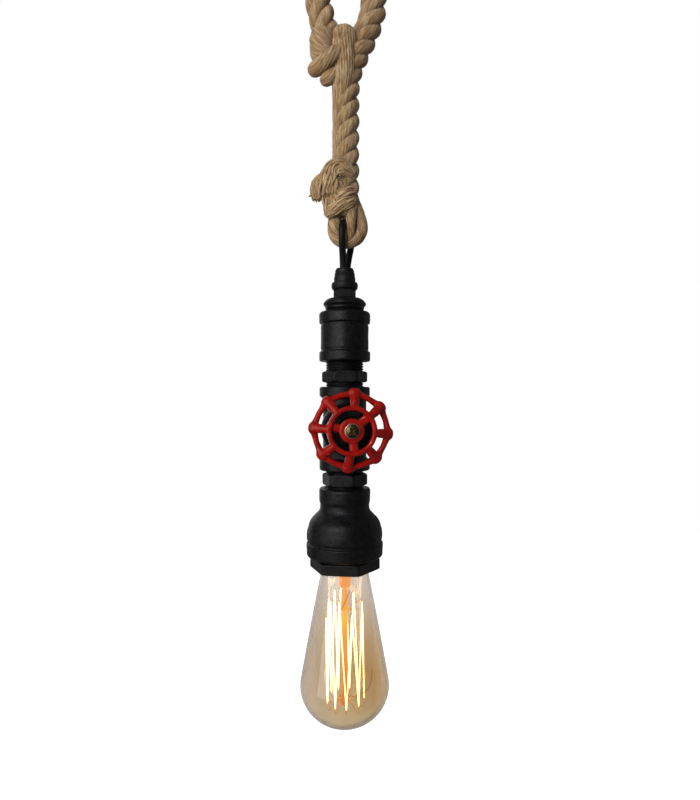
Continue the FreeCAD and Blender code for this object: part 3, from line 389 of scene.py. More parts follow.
def even(line: np.ndarray, step: float) -> np.ndarray:
    """Points at equal distances along a line, by straight blending between its own.

    Args:
        line: Rows of three numbers.
        step: The distance wanted between points.

    Returns:
        Rows of three numbers.
    """
    run = along(line)
    count = max(8, round(float(run[-1]) / step))
    s = np.linspace(0, run[-1], count + 1)
    return np.stack([np.interp(s, run, line[:, k]) for k in range(3)], axis=1)


def frames(line: np.ndarray, side: np.ndarray) -> tuple[np.ndarray, np.ndarray, np.ndarray]:
    """Direction of a line and two directions across it.

    The first across direction is side without its share along the line; the second is at a
    right angle to both.

    Args:
        line: Rows of three numbers.
        side: One direction, or one for each row.

    Returns:
        Three arrays of unit vectors.
    """
    ahead = unit(np.gradient(line, axis=0))
    side = np.broadcast_to(side, line.shape)
    first = unit(side - ahead * np.sum(side * ahead, axis=1, keepdims=True))
    return ahead, first, np.cross(ahead, first)


def tube_grid(line: np.ndarray, side: np.ndarray, radius: np.ndarray, columns: int) -> np.ndarray:
    """A tube: each row is a circle across the line, c + r (cos u * first + sin u * second).

    Args:
        line: Rows of three numbers.
        side: A direction across the line.
        radius: One radius for each row, or for each row and column.
        columns: Points round the tube.

    Returns:
        A grid of points.
    """
    _, first, second = frames(line, side)
    u = turns(columns)
    radius = radius[:, None] if radius.ndim == 1 else radius
    ring = np.cos(u)[None, :, None] * first[:, None] + np.sin(u)[None, :, None] * second[:, None]
    return line[:, None] + np.broadcast_to(radius, (len(line), columns))[..., None] * ring


# Finishes


def fill(tree: Tree, node: Node, inputs: dict) -> None:
    """Links or fills a node's inputs.

    Args:
        tree: The node tree.
        node: The node.
        inputs: Socket name or number to an output socket, which is linked, or to a value.
    """
    for name, value in inputs.items():
        if isinstance(value, Socket):
            tree.links.new(value, node.inputs[name])
        else:
            node.inputs[name].default_value = value


def add(tree: Tree, kind: str, inputs: dict | None = None, **settings: object) -> Node:
    """Adds a node, sets what it is told, and links or fills its inputs.

    Args:
        tree: The node tree.
        kind: The node's type.
        inputs: As for fill.
        settings: The node's own properties.

    Returns:
        The new node.
    """
    made = tree.nodes.new(kind)
    for name, value in settings.items():
        setattr(made, name, value)
    fill(tree, made, inputs or {})
    return made


def ramp(tree: Tree, source: Socket, stops: dict[float, str]) -> Socket:
    """Turns a number into a colour between hex stops.

    Args:
        tree: The node tree.
        source: The number.
        stops: Place from 0 to 1 to an sRGB hex colour.

    Returns:
        The colour socket.
    """
    made = add(tree, "ShaderNodeValToRGB", {"Fac": source})
    elements = made.color_ramp.elements
    while len(elements) < len(stops):
        elements.new(0.5)
    for element, (place, code) in zip(elements, sorted(stops.items())):
        element.position = place
        element.color = linear(code)
    return made.outputs["Color"]


@dataclass(frozen=True)
class Finish:
    """What a piece is finished with. Its material is made once, under its name."""

    name: str

    def material(self) -> bpy.types.Material:
        """The finish's material, made the first time that it is asked for.

        Returns:
            The material, one for all pieces of this finish.
        """
        found = bpy.data.materials.get(self.name)
        if found:
            return found
        made = bpy.data.materials.new(self.name)
        made.use_nodes = True
        tree = made.node_tree
        shader = tree.nodes["Principled BSDF"]
        self.build(tree, shader)
        return made

    def build(self, tree: Tree, shader: Node) -> None:
        """Fills the node tree; each finish has its own.

        Args:
            tree: The material's node tree.
            shader: Its main shader.
        """
        raise NotImplementedError

    def dress(self, *pieces: Object) -> None:
        """Gives the finish to whole pieces.

        Args:
            pieces: The objects.
        """
        for piece in pieces:
            piece.data.materials.clear()
            piece.data.materials.append(self.material())


@dataclass(frozen=True)
class PlainFinish(Finish):
    """A plain moulded, drawn or plated surface: two close colours and a fine grain of its own.

    Turn_at is where the patches' noise leaves the first colour and where it reaches the other,
    detail is the noise's octaves, and stretch may draw the grain out along an axis.
    """

    colour: str
    other: str
    roughness: float
    metallic: float = 0.0
    specular: float = 0.5
    patch_mm: float = 4.0
    patch_detail: float = 3.0
    turn_at: Span = (0.3, 0.7)
    grain_mm: float = 0.6
    grain_height_mm: float = 0.015
    grain_detail: float = 3.0
    grain_contrast: float = 0.5
    stretch: Point = (1.0, 1.0, 1.0)

    def build(self, tree: Tree, shader: Node) -> None:
        """Colour from slow patches, and bump from the grain.

        Args:
            tree: The material's node tree.
            shader: Its main shader.
        """
        place = add(tree, "ShaderNodeTexCoord").outputs["Object"]
        drawn = add(tree, "ShaderNodeMapping", {"Vector": place, "Scale": self.stretch})
        patches = add(tree, "ShaderNodeTexNoise", {"Vector": place, "Detail": self.patch_detail,
                                                   "Scale": 1 / (self.patch_mm * MM)})
        tint = ramp(tree, patches.outputs["Fac"], dict(zip(self.turn_at, (self.colour, self.other))))
        grain = add(tree, "ShaderNodeTexNoise", {
            "Vector": drawn.outputs["Vector"], "Scale": 1 / (self.grain_mm * MM), "Detail": self.grain_detail,
            "Roughness": self.grain_contrast})
        bump = add(tree, "ShaderNodeBump", {"Height": grain.outputs["Fac"], "Strength": 1.0,
                                            "Distance": self.grain_height_mm * MM})
        fill(tree, shader, {"Base Color": tint, "Normal": bump.outputs["Normal"], "Roughness": self.roughness,
                            "Metallic": self.metallic, "Specular IOR Level": self.specular})


@dataclass(frozen=True)
class PowderCoat(PlainFinish):
    """Black polyester powder, sprayed on and baked.

    It is dull and even, and the sand grain of the casting under it shows as fine soft pits,
    which are drawn coarse enough to show.
    """

    colour: str = "#050506"
    other: str = "#0F0F12"
    roughness: float = 0.43
    specular: float = 0.13
    patch_detail: float = 4.0
    turn_at: Span = (0.4, 0.65)
    grain_mm: float = 1.3
    grain_height_mm: float = 0.2
    grain_detail: float = 4.0
    grain_contrast: float = 0.6


@dataclass(frozen=True)
class Enamel(PlainFinish):
    """Gloss enamel dipped on a casting: thick and wet-looking.

    Its colour is deeper where the coat is thick, and its grain is the slow flow over the sand.
    """

    colour: str = "#6C0A05"
    other: str = "#93120A"
    roughness: float = 0.07
    specular: float = 0.15
    patch_mm: float = 5.0
    patch_detail: float = 2.0
    grain_mm: float = 2.2
    grain_height_mm: float = 0.03
    grain_detail: float = 1.0


@dataclass(frozen=True)
class Jute(Finish):
    """Jute yarn, spun dry: dull straw-brown fibres with painted shade in the gaps between them, and browner
    patches.

    Each layer of streaks is its count per millimetre across and along the yarn, and its share.
    """

    dark: str = "#644626"
    middle: str = "#957A59"
    light: str = "#B9A482"
    # The gap colour is painted shade, laid on where the mesh's shade attribute is high.
    gap: str = "#3C230C"
    stain: str = "#9A6C3A"
    streaks: tuple[Point, ...] = ((2.2, 0.16, 0.3), (0.7, 0.08, 0.45), (0.25, 0.12, 0.25))
    patch_mm: float = 9.0
    fibre_height_mm: float = 0.7

    def build(self, tree: Tree, shader: Node) -> None:
        """Streaks on the piece's own UV map in millimetres, patches, and painted shade from the shade
        attribute that join_skins gives the mesh.

        Args:
            tree: The material's node tree.
            shader: Its main shader.
        """
        uv = add(tree, "ShaderNodeUVMap", uv_map="along").outputs["UV"]
        total: Socket | float = 0.0
        for across, lengthwise, share in self.streaks:
            place = add(tree, "ShaderNodeMapping", {"Vector": uv, "Scale": (across, lengthwise, 1.0)})
            noise = add(tree, "ShaderNodeTexNoise", {"Vector": place.outputs["Vector"], "Scale": 1.0,
                                                     "Detail": 3.0, "Roughness": 0.6})
            total = add(tree, "ShaderNodeMath", {0: noise.outputs["Fac"], 1: share, 2: total},
                        operation="MULTIPLY_ADD").outputs[0]
        tint = ramp(tree, total, {0.38: self.dark, 0.5: self.middle, 0.62: self.light})
        place = add(tree, "ShaderNodeTexCoord").outputs["Object"]
        patches = add(tree, "ShaderNodeTexNoise", {"Vector": place, "Detail": 2.0,
                                                   "Scale": 1 / (self.patch_mm * MM)})
        worn = add(tree, "ShaderNodeMapRange", {"Value": patches.outputs["Fac"], "From Min": 0.56,
                                                "From Max": 0.72, "To Max": 0.5}).outputs["Result"]
        # Painted shade: towards the gap colour in the grooves between yarns, on the side facing the rope's
        # middle and at the back of a tassel.
        depth = add(tree, "ShaderNodeAttribute", attribute_name="painted_shade").outputs["Fac"]
        for factor, code in ((worn, self.stain), (depth, self.gap)):
            tint = add(tree, "ShaderNodeMix", {"Factor": factor, "A": tint, "B": linear(code)},
                       data_type="RGBA").outputs["Result"]
        bump = add(tree, "ShaderNodeBump", {"Height": total, "Strength": 1.0,
                                            "Distance": self.fibre_height_mm * MM})
        fill(tree, shader, {"Base Color": tint, "Normal": bump.outputs["Normal"], "Roughness": 0.95,
                            "Specular IOR Level": 0.05, "Sheen Weight": 0.2, "Sheen Roughness": 0.5})


@dataclass(frozen=True)
class TintedGlass(Finish):
    """Blown soda glass tinted amber, paler at the neck and darker towards the base.

    From left to right it turns from a paler grey to browner, which is painted light and shade. Where
    the eye looks along the wall it is darker, and low down on the right darker still, which is painted
    shade. A place of facing is 0 where the wall faces the eye and 1 at its outline; heights are in
    millimetres.
    """

    tint_and_painted_light_across_mm: tuple[tuple[float, str], ...] = (
        (-26.0, "#D0C4B6"), (-18.0, "#C6BAA8"), (-6.0, "#C8B89E"), (17.0, "#BDA581"), (26.0, "#CAB596"))
    base_tint: str = "#CDC1AC"
    neck: str = "#DCD6D0"
    side: str = "#C8BFB4"
    rim: str = "#AEA499"
    base_side: str = "#AA9C8C"
    base_rim: str = "#463626"
    # Painted shade low down on the right; its facing and span across are given below.
    painted_shade_low_right: str = "#6C5D4A"
    base_mm: Span = (-634.0, -612.0)
    neck_mm: Span = (-590.0, -535.0)
    upper_facing: Point = (0.3, 0.7, 0.9)
    lower_facing: Point = (0.56, 0.7, 0.8)
    painted_shade_facing: Span = (0.54, 0.7)
    painted_shade_right_mm: Span = (-10.4, 15.6)
    ior: float = 1.47

    def build(self, tree: Tree, shader: Node) -> None:
        """Mixes the tints by facing, by height and from left to right; the change from left to right and the
        darker lower right are painted light and shade, and a shadow ray goes through tinted.

        Args:
            tree: The material's node tree.
            shader: Its main shader.
        """
        facing = add(tree, "ShaderNodeLayerWeight", {"Blend": 0.5}).outputs["Facing"]
        place = add(tree, "ShaderNodeTexCoord").outputs["Object"]
        split = add(tree, "ShaderNodeSeparateXYZ", {"Vector": place})
        left, right = self.tint_and_painted_light_across_mm[0][0], self.tint_and_painted_light_across_mm[-1][0]
        shares = {}
        for name, source, (low, high), size in (
            ("across", split.outputs["X"], (left, right), MM),
            ("painted_shade_rightwards", split.outputs["X"], self.painted_shade_right_mm, MM),
            ("clear", split.outputs["Z"], self.neck_mm, MM),
            ("raised", split.outputs["Z"], self.base_mm, MM),
            ("turned", facing, self.painted_shade_facing, 1.0),
        ):
            shares[name] = add(tree, "ShaderNodeMapRange", {"Value": source, "From Min": low * size,
                                                            "From Max": high * size}).outputs["Result"]
        # The amber tint with painted light: paler and greyer on the left, browner to the right.
        stops = {(x - left) / (right - left): code for x, code in self.tint_and_painted_light_across_mm}
        tint_with_painted_light = ramp(tree, shares["across"], stops)
        middle = add(tree, "ShaderNodeMix", {"Factor": shares["clear"], "A": tint_with_painted_light, "B": linear(self.neck)},
                     data_type="RGBA").outputs["Result"]
        upper = self.darkened(tree, facing, middle, self.upper_facing, (self.side, self.rim))
        lower = self.darkened(tree, facing, linear(self.base_tint), self.lower_facing,
                              (self.base_side, self.base_rim))
        # Painted shade: darker still where the wall turns from the eye low down on the right.
        deep = add(tree, "ShaderNodeMath", {0: shares["turned"], 1: shares["painted_shade_rightwards"]},
                   operation="MULTIPLY").outputs[0]
        lower = add(tree, "ShaderNodeMix", {"Factor": deep, "A": lower, "B": linear(self.painted_shade_low_right)},
                    data_type="RGBA").outputs["Result"]
        tint = add(tree, "ShaderNodeMix", {"Factor": shares["raised"], "A": lower, "B": upper},
                   data_type="RGBA")
        fill(tree, shader, {"Base Color": tint.outputs["Result"], "Roughness": 0.0, "IOR": self.ior,
                            "Transmission Weight": 1.0})
        through = add(tree, "ShaderNodeBsdfTransparent", {"Color": linear(self.tint_and_painted_light_across_mm[0][1])})
        path = add(tree, "ShaderNodeLightPath")
        both = add(tree, "ShaderNodeMixShader", {0: path.outputs["Is Shadow Ray"], 1: shader.outputs["BSDF"],
                                                 2: through.outputs["BSDF"]})
        tree.links.new(both.outputs["Shader"], tree.nodes["Material Output"].inputs["Surface"])

    def darkened(self, tree: Tree, facing: Socket, middle: Socket | tuple, places: Point,
                 colours: tuple[str, str]) -> Socket:
        """The colour of the middle, turning to two darker ones as the wall turns from the eye.

        Args:
            tree: The node tree.
            facing: 0 where the wall faces the eye, 1 at its outline.
            middle: The colour of the wall that faces the eye.
            places: Where the first change starts, where it ends and where the second ends.
            colours: The colours after the first and the second change.

        Returns:
            The colour socket.
        """
        start, turned, end = places
        share = add(tree, "ShaderNodeMapRange", {"Value": facing, "From Min": start, "From Max": turned})
        edge = ramp(tree, facing, {turned: colours[0], end: colours[1]})
        return add(tree, "ShaderNodeMix", {"Factor": share.outputs["Result"], "A": middle, "B": edge},
                   data_type="RGBA").outputs["Result"]


@dataclass(frozen=True)
class LitGlass(Finish):
    """The glass rod, whose light from the filament all round it is painted on as its own glow, yellow where
    that painted light is strongest.
    """

    stops: tuple[tuple[float, str], ...]
    low_mm: float
    high_mm: float
    strength: float = 1.0
    base: str = "#3A2008"

    def build(self, tree: Tree, shader: Node) -> None:
        """Painted light whose colour follows the height between two levels.

        Args:
            tree: The material's node tree.
            shader: Its main shader.
        """
        place = add(tree, "ShaderNodeTexCoord").outputs["Object"]
        height = add(tree, "ShaderNodeSeparateXYZ", {"Vector": place}).outputs["Z"]
        share = add(tree, "ShaderNodeMapRange", {"Value": height, "From Min": self.low_mm * MM,
                                                 "From Max": self.high_mm * MM}).outputs["Result"]
        fill(tree, shader, {"Emission Color": ramp(tree, share, dict(self.stops)), "Roughness": 0.3,
                            "Emission Strength": self.strength, "Base Color": linear(self.base)})


@dataclass(frozen=True)
class RoomPaint(Finish):
    """Flat paint on the room's walls, lit so evenly that it shows pure white."""

    base: str

    def build(self, tree: Tree, shader: Node) -> None:
        """White light over a dull colour that takes the lamps' light."""
        fill(tree, shader, {"Base Color": linear(self.base), "Specular IOR Level": 0.0, "Roughness": 0.9,
                            "Emission Color": linear("#FFFFFF"), "Emission Strength": 1.0})


@dataclass(frozen=True)
class Glow(Finish):
    """Hot tungsten, or a wire whose light from the tungsten is painted on as glow: gives off its own light.
    """

    colour: str = "#FFD88A"
    strength: float = 12.0
    base: str = "#6A4A2A"

    def build(self, tree: Tree, shader: Node) -> None:
        """Even light from the whole surface."""
        fill(tree, shader, {"Base Color": linear(self.base), "Roughness": 0.4,
                            "Emission Color": linear(self.colour), "Emission Strength": self.strength})


# The grain is coarse on castings, fine on turned steel and next to none on spun sheet.
CAST_COAT = PowderCoat("powder_coat_on_cast_iron")
SMOOTH_COAT = PowderCoat("powder_coat_on_turned_steel", roughness=0.41, grain_mm=0.9, grain_height_mm=0.06)
SHEET_COAT = PowderCoat("powder_coat_on_spun_steel", roughness=0.38, grain_mm=0.5, grain_height_mm=0.012)
WHEEL_ENAMEL = Enamel("enamel_on_cast_wheel")
ROPE_JUTE = Jute("jute_spun_yarn")
# Single hairs, paler and duller than the yarn.
LOOSE_FIBRE = PlainFinish("jute_loose_fibre", "#B49A72", "#DCC7A4", 0.9)
# Black plastics and rubber: the sheath and the nylon are satin, the rubber dull, the resin glossy.
CABLE_SHEATH = PlainFinish("pvc_extruded_cable_sheath", "#070708", "#0C0C0D", 0.5, grain_mm=0.8,
                           grain_height_mm=0.03, specular=0.13)
NYLON = PlainFinish("nylon_moulded_black", "#0A0A0C", "#101012", 0.5, specular=0.14)
RUBBER = PlainFinish("rubber_moulded_black", "#101010", "#171717", 0.75)
BAKELITE = PlainFinish("phenolic_moulded_black", "#0F0E0E", "#171514", 0.32)
# Bright plate; clean and tarnished brass, the tarnish brown in soft spots; washed brass; soft solder.
ZINC = PlainFinish("steel_zinc_plated", "#A9A9A4", "#C2C1BA", 0.32, metallic=1.0, grain_mm=1.5)
TURNED_BRASS = PlainFinish("brass_turned", "#8E7446", "#B0935C", 0.3, metallic=1.0, stretch=(1.0, 0.2, 1.0))
DULL_BRASS = PlainFinish("brass_tarnished", "#1F1B13", "#54482F", 0.36, metallic=1.0, grain_mm=0.9,
                         grain_height_mm=0.2)
SHEET_BRASS = PlainFinish("brass_rolled_sheet", "#B8924E", "#CBA765", 0.34, metallic=1.0)
CAP_METAL = PlainFinish("brass_nickel_washed", "#A89C86", "#C0B49C", 0.3, metallic=1.0)
SOLDER = PlainFinish("tin_solder", "#8D8D8C", "#A6A6A3", 0.45, metallic=1.0)
# Glass pressed into the cap, mirror-smooth; coloured PVC on the wires, with a slight shine.
BLACK_GLASS = PlainFinish("pressed_glass_black", "#0B0B0C", "#121213", 0.12, grain_height_mm=0.004)
BROWN_WIRE = PlainFinish("pvc_wire_brown", "#4A2B18", "#563420", 0.4)
BLUE_WIRE = PlainFinish("pvc_wire_blue", "#1F4E8C", "#285C9E", 0.4)
BULB_GLASS = TintedGlass("soda_glass_amber_blown")
# The stem's glass rod is no lamp; its glow is the filament's light painted on.
STEM_GLASS_PAINTED_GLOW = LitGlass("lead_glass_lit_by_filament", ((0.0, "#F58028"), (0.25, "#FF9A34"), (0.6, "#FFA830"),
                                                      (0.72, "#FFCE2C"), (0.84, "#FFB040"), (1.0, "#FFA858")),
                      -624.0, -536.0, 1.2)
# The filament is white-hot; the hooks and leads are no lamps, and their glow is its light painted on.
FILAMENT_GLOW = Glow("tungsten_hot", "#FFD898", 10.0)
HOOK_PAINTED_GLOW = Glow("molybdenum_wire_lit", "#FF9A48", 0.75, "#6A4A2A")
LEAD_PAINTED_GLOW = Glow("nickel_wire_lit", "#E8923C", 0.35, "#6A5038")

DOME_PAINT = RoomPaint("white_room", "#000000")
FLOOR_PAINT = RoomPaint("pale_floor", "#E8E8E6")

CARRIED: dict[str, Finish] = {
    "canopy": SHEET_COAT, "crossbar": ZINC, "ceiling_hook": SMOOTH_COAT, "hook_nuts": ZINC,
    "canopy_collar": SMOOTH_COAT, "cable_grommet": RUBBER, "cord_grip_nut": NYLON,
    "cord_grip_seal": RUBBER, "cord_grip_body": NYLON, "valve_body": CAST_COAT, "bonnet_gasket": RUBBER,
    "valve_bonnet": CAST_COAT, "packing_ring": RUBBER, "packing_nut": SMOOTH_COAT,
    "lampholder_body": BAKELITE, "lampholder_shell": SHEET_BRASS, "lampholder_contact": SHEET_BRASS,
    "terminal_screws": TURNED_BRASS, "valve_stem": TURNED_BRASS, "bulb_cap_shell": CAP_METAL,
    "bulb_cap_insulator": BLACK_GLASS, "bulb_tip_contact": SOLDER, "bulb_stem": STEM_GLASS_PAINTED_GLOW,
    "inner_cable": CABLE_SHEATH, "live_wire": BROWN_WIRE, "neutral_wire": BLUE_WIRE,
}


# Placing


def settle(piece: Object, body: Body, finish: Finish, slot: str, *nodes: str) -> Object:
    """Dresses a piece, lets it ride on its body and takes the place of CAD nodes.

    Args:
        piece: The object.
        body: What it rides on.
        finish: What it is finished with.
        slot: The record's material slot; not used.
        nodes: The CAD nodes that it stands for.

    Returns:
        The piece.
    """
    finish.dress(piece)
    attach(piece, body.value)
    if nodes:
        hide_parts(*nodes)
    log.info("%s: %d faces on %s", piece.name, len(getattr(piece.data, "polygons", ())), body.value)
    return piece


def carry_over() -> None:
    """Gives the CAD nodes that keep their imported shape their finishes."""
    for node, finish in CARRIED.items():
        finish.dress(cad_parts[node])
    log.info("%d packed shapes dressed", len(CARRIED))


# Studio


@dataclass
class Studio:
    """The white room, its lamps and the camera.

    A lamp is its name, its angle round the pendant in degrees, its height over the target, its
    distance and its size in metres, and its power in watts.
    """

    camera_at: Point = (-44.05, -417.2, -400.0)
    camera_towards: Point = (0.1132, 0.9936, 0.0)
    lens_mm: float = 25.9
    dome_radius: float = 4000.0
    dome_z: float = -400.0
    dome_hole: float = 0.02
    floor_radius: float = 3900.0
    floor_z: float = -1250.0
    target_m: Point = (0.0, 0.0, -0.4)
    lamps: tuple[tuple[str, float, float, float, Span, float], ...] = (
        ("key", 220.0, 0.25, 1.1, (1.25, 1.5), 14.5), ("sparkle", 240.0, 0.45, 1.3, (0.07, 0.07), 9.0),
        ("rim", 20.0, 0.1, 1.6, (0.5, 1.6), 0.6), ("back", 108.0, 0.3, 1.3, (1.2, 1.5), 5.0))
    bloom: tuple[tuple[str, float], ...] = (
        ("Threshold", 2.0), ("Maximum", 9.0), ("Strength", 0.2), ("Size", 0.12))

    def build(self) -> None:
        """Makes the camera, the dome, the floor and the lamps."""
        self.build_camera()
        self.build_room()
        self.build_lamps()
        self.build_bloom()

    def build_camera(self) -> None:
        """A level camera at the photograph's place and angle."""
        data = bpy.data.cameras.new("camera")
        data.sensor_width = 36.0
        data.sensor_fit = "AUTO"
        data.lens = self.lens_mm
        data.clip_start = 0.01
        data.clip_end = 50
        camera = bpy.data.objects.new("camera", data)
        camera.location = Vector(self.camera_at) * MM
        camera.rotation_euler = Vector(self.camera_towards).to_track_quat("-Z", "Y").to_euler()
        bpy.context.collection.objects.link(camera)
        bpy.context.scene.camera = camera

    def build_room(self) -> None:
        """A white dome that only sight reaches, and a pale floor.

        The dome's profile is (R sin t, z - R cos t), with t from one pole to the other.
        """
        scene = bpy.context.scene
        scene.view_settings.view_transform = "Standard"
        world = bpy.data.worlds.new("studio")
        world.use_nodes = True
        tree = world.node_tree
        fill(tree, tree.nodes["Background"], {"Color": linear("#FFFFFF"), "Strength": 0.2})
        scene.world = world
        t = np.linspace(self.dome_hole, math.pi - self.dome_hole, 24)
        side = np.stack([self.dome_radius * np.sin(t), self.dome_z - self.dome_radius * np.cos(t)], axis=1)
        dome = join_skins("dome", [Skin(spun(side, 48))])
        rim = np.array([[self.floor_radius, self.floor_z - 10], [self.floor_radius, self.floor_z],
                        [AXIS_GAP, self.floor_z]])
        floor = join_skins("floor", [Skin(spun(rim, 64))], smooth=False)
        for piece, paint in ((dome, DOME_PAINT), (floor, FLOOR_PAINT)):
            paint.dress(piece)
            piece.visible_diffuse = False
            piece.visible_glossy = False
            piece.visible_shadow = False

    def build_lamps(self) -> None:
        """A soft box and a small hard lamp at the front left, a weak strip at the right, a box behind."""
        target = Vector(self.target_m)
        for name, angle, lift, distance, size, power in self.lamps:
            data = bpy.data.lights.new(name, "AREA")
            data.shape = "RECTANGLE"
            data.size, data.size_y = size
            data.energy = power
            lamp = bpy.data.objects.new(name, data)
            a = math.radians(angle)
            lamp.location = target + Vector((distance * math.cos(a), distance * math.sin(a), lift))
            lamp.rotation_euler = (target - lamp.location).to_track_quat("-Z", "Y").to_euler()
            lamp.visible_camera = False
            lamp.visible_transmission = False
            bpy.context.collection.objects.link(lamp)

    def build_bloom(self) -> None:
        """The halo that a lens puts round the hot filament; nothing else is bright enough for it."""
        scene = bpy.context.scene
        scene.use_nodes = True
        tree = scene.node_tree
        tree.nodes.clear()
        layers = add(tree, "CompositorNodeRLayers")
        glare = add(tree, "CompositorNodeGlare", {"Image": layers.outputs["Image"]}, glare_type="BLOOM")
        fill(tree, glare, dict(self.bloom))
        add(tree, "CompositorNodeComposite", {"Image": glare.outputs["Image"]})


# Rope


FRONT = np.array([0.0, -1.0, 0.15])
GROOVE = 0.09  # depth of the grooves between yarns and height of the slow lumps, as shares of the radius
LUMP = 0.04
LUMP_PLACE = (6.0, 6.0, 0.25)  # lumps are found on a cylinder of radius 6, and drawn out along the strand
LUMP_CELL = 2.2


def strand_surface(centre: np.ndarray, out: np.ndarray, radius: float | np.ndarray, yarns: int, columns: int,
                   twist: float, seed: int, painted_inner_shade: float = 0.45) -> Skin:
    """A strand of yarns along a line.

    The radius at angle u and distance s is r times 1 - g (1 - k) plus slow random lumps, with
    grooves of depth g and the ridge k = |cos(n (u - twist s) / 2)|^0.7 of n yarns. Its shade is
    painted shade: 0.62 (1 - k)^1.3, dark between the yarns, plus painted shade on the side that
    faces the rope's middle, plus a share of the lumps.

    Args:
        centre: The strand's line in millimetres.
        out: For each point of it, the direction away from the rope's middle.
        radius: The strand's radius, one or one for each point.
        yarns: How many yarns show round it.
        columns: Points round it.
        twist: Turn of the yarns in radians for each millimetre.
        seed: Which random lumps.
        painted_inner_shade: How much painted shade the side that faces the rope's middle gets.

    Returns:
        The strand's surface, with UV across and along the yarns.
    """
    s = along(centre)
    u = turns(columns)
    r = np.broadcast_to(np.asarray(radius, float), s.shape)[:, None]
    turn = u[None] - twist * s[:, None]
    ridge = np.abs(np.cos(yarns * turn / 2)) ** 0.7
    place = np.stack([np.cos(turn), np.sin(turn), np.broadcast_to(s[:, None], turn.shape)], -1)
    wave = lumps(place * LUMP_PLACE, LUMP_CELL, seed)
    rows = tube_grid(centre, out, r * (1 - GROOVE * (1 - ridge) + LUMP * wave), columns)
    inward = 1 - smooth_step(-0.6, 0.5, np.cos(u))[None]
    # Painted shade: dark in the grooves between yarns and on the side that faces the rope's middle, with a
    # share of the lumps.
    shade = np.clip(0.62 * (1 - ridge) ** 1.3 + painted_inner_shade * inward + 0.12 * wave, 0, 1)
    wide = np.arange(columns + 1) * TURN / columns
    # The seed also moves the UV map, so that no two strands have the same streaks.
    across = (wide[None] - twist * s[:, None]) * float(np.mean(r)) + seed * 57.0
    uv = np.stack(np.broadcast_arrays(across, s[:, None] + seed * 31.0), axis=-1)
    return Skin(rows, uv=uv, shade=shade)


@dataclass(frozen=True)
class Strand:
    """A strand laid along a route of its own, such as a tucked end.

    Widths are shares of the radius at equal distances along it.
    """

    points: tuple[Point, ...]
    radius: float
    seed: int
    widths: tuple[float, ...] = (1.0, 1.0)
    yarns: int = 12
    twist: float = -0.12
    columns: int = 48

    def line(self) -> np.ndarray:
        """Points along it, 0.6 mm apart."""
        return even(route_line(self.points), 0.6)

    def skin(self) -> Skin:
        """Its surface, with round ends that are 0.8 of the radius long.

        Returns:
            The surface.
        """
        line = self.line()
        s = along(line)
        share = np.interp(s / s[-1], np.linspace(0, 1, len(self.widths)), self.widths)
        end = np.clip(np.minimum(s, s[-1] - s) / (0.8 * self.radius), 0.004, 1)
        radius = self.radius * share * np.sqrt(1 - (1 - end) ** 2)
        return strand_surface(line, FRONT, radius, self.yarns, self.columns, self.twist, self.seed, 0.15)


@dataclass(frozen=True)
class Tassel:
    """A strand whose yarns have come apart over a core.

    Each yarn keeps its own place on the outside of the bundle, sways a little and ends at its
    own length. The bundle's depth is flat times its width. Layer and sway are shares of its
    radius, waves are radians for each millimetre, and thick is the range of a yarn's radius.
    """

    points: tuple[Point, ...]
    radius: float
    seed: int
    widths: tuple[float, ...] = (1.0, 1.0)
    yarns: int = 40
    yarn: float = 0.85
    flat: float = 0.75
    uneven: float = 0.2
    layer: Span = (0.78, 1.06)
    sway: float = 0.14
    waves: Span = (0.15, 0.5)
    thick: Span = (0.7, 1.2)

    def skins(self) -> list[Skin]:
        """The core and the yarns.

        Returns:
            Their surfaces.
        """
        inside = self.layer[0] * self.radius
        core = Strand(self.points, inside, self.seed, self.widths, yarns=9, columns=30).skin()
        rng = np.random.default_rng(self.seed)
        line = even(route_line(self.points), 1.0)
        _, front, aside = frames(line, FRONT)
        s = along(line)
        width = self.radius * np.interp(s / s[-1], np.linspace(0, 1, len(self.widths)), self.widths)
        made = [core]
        for number in range(self.yarns):
            place = rng.uniform(*self.layer)
            angle = rng.uniform(0, TURN)
            sway = self.sway * np.sin(rng.uniform(0, TURN, (2, 1)) + rng.uniform(*self.waves, (2, 1)) * s)
            across = place * math.cos(angle) + sway[0]
            deep = place * math.sin(angle) + sway[1]
            centre = line + (width * across)[:, None] * aside + (self.flat * width * deep)[:, None] * front
            rows = max(5, round(len(line) * (1 - self.uneven * rng.random())))
            share = rng.uniform(*self.thick)
            made.append(self.yarn_skin(centre[:rows], front[:rows], share, deep[:rows], number))
        return made

    def yarn_skin(self, centre: np.ndarray, front: np.ndarray, share: float, deep: np.ndarray,
                  number: int) -> Skin:
        """One thin yarn, narrow in its first millimetre and pointed over its last 2.5.

        Args:
            centre: Its line in millimetres.
            front: For each point, the direction to the front of the bundle.
            share: Its radius as a share of the usual one.
            deep: For each point, how near the front it lies, from -1 to 1; the back gets painted shade.
            number: Which yarn, so that no two have the same streaks.

        Returns:
            The yarn's surface.
        """
        s = along(centre)
        columns = 8
        tip = np.sqrt(np.clip((s[-1] - s) / 2.5, 0.05, 1)) * np.clip(0.3 + s / 2, 0.3, 1)
        rows = tube_grid(centre, front, self.yarn * share * tip, columns)
        # Painted shade: darker at the back of the bundle and on each yarn's side away from the front.
        shade = np.clip(0.2 - 0.24 * deep[:, None] + 0.2 * (0.5 - 0.5 * np.cos(turns(columns)))[None], 0, 1)
        wide = np.arange(columns + 1) * TURN / columns * self.yarn
        uv = np.broadcast_arrays(wide[None] + 9.7 * number + self.seed, s[:, None] + 13.1 * number)
        return Skin(rows, uv=np.stack(uv, axis=-1), shade=shade)


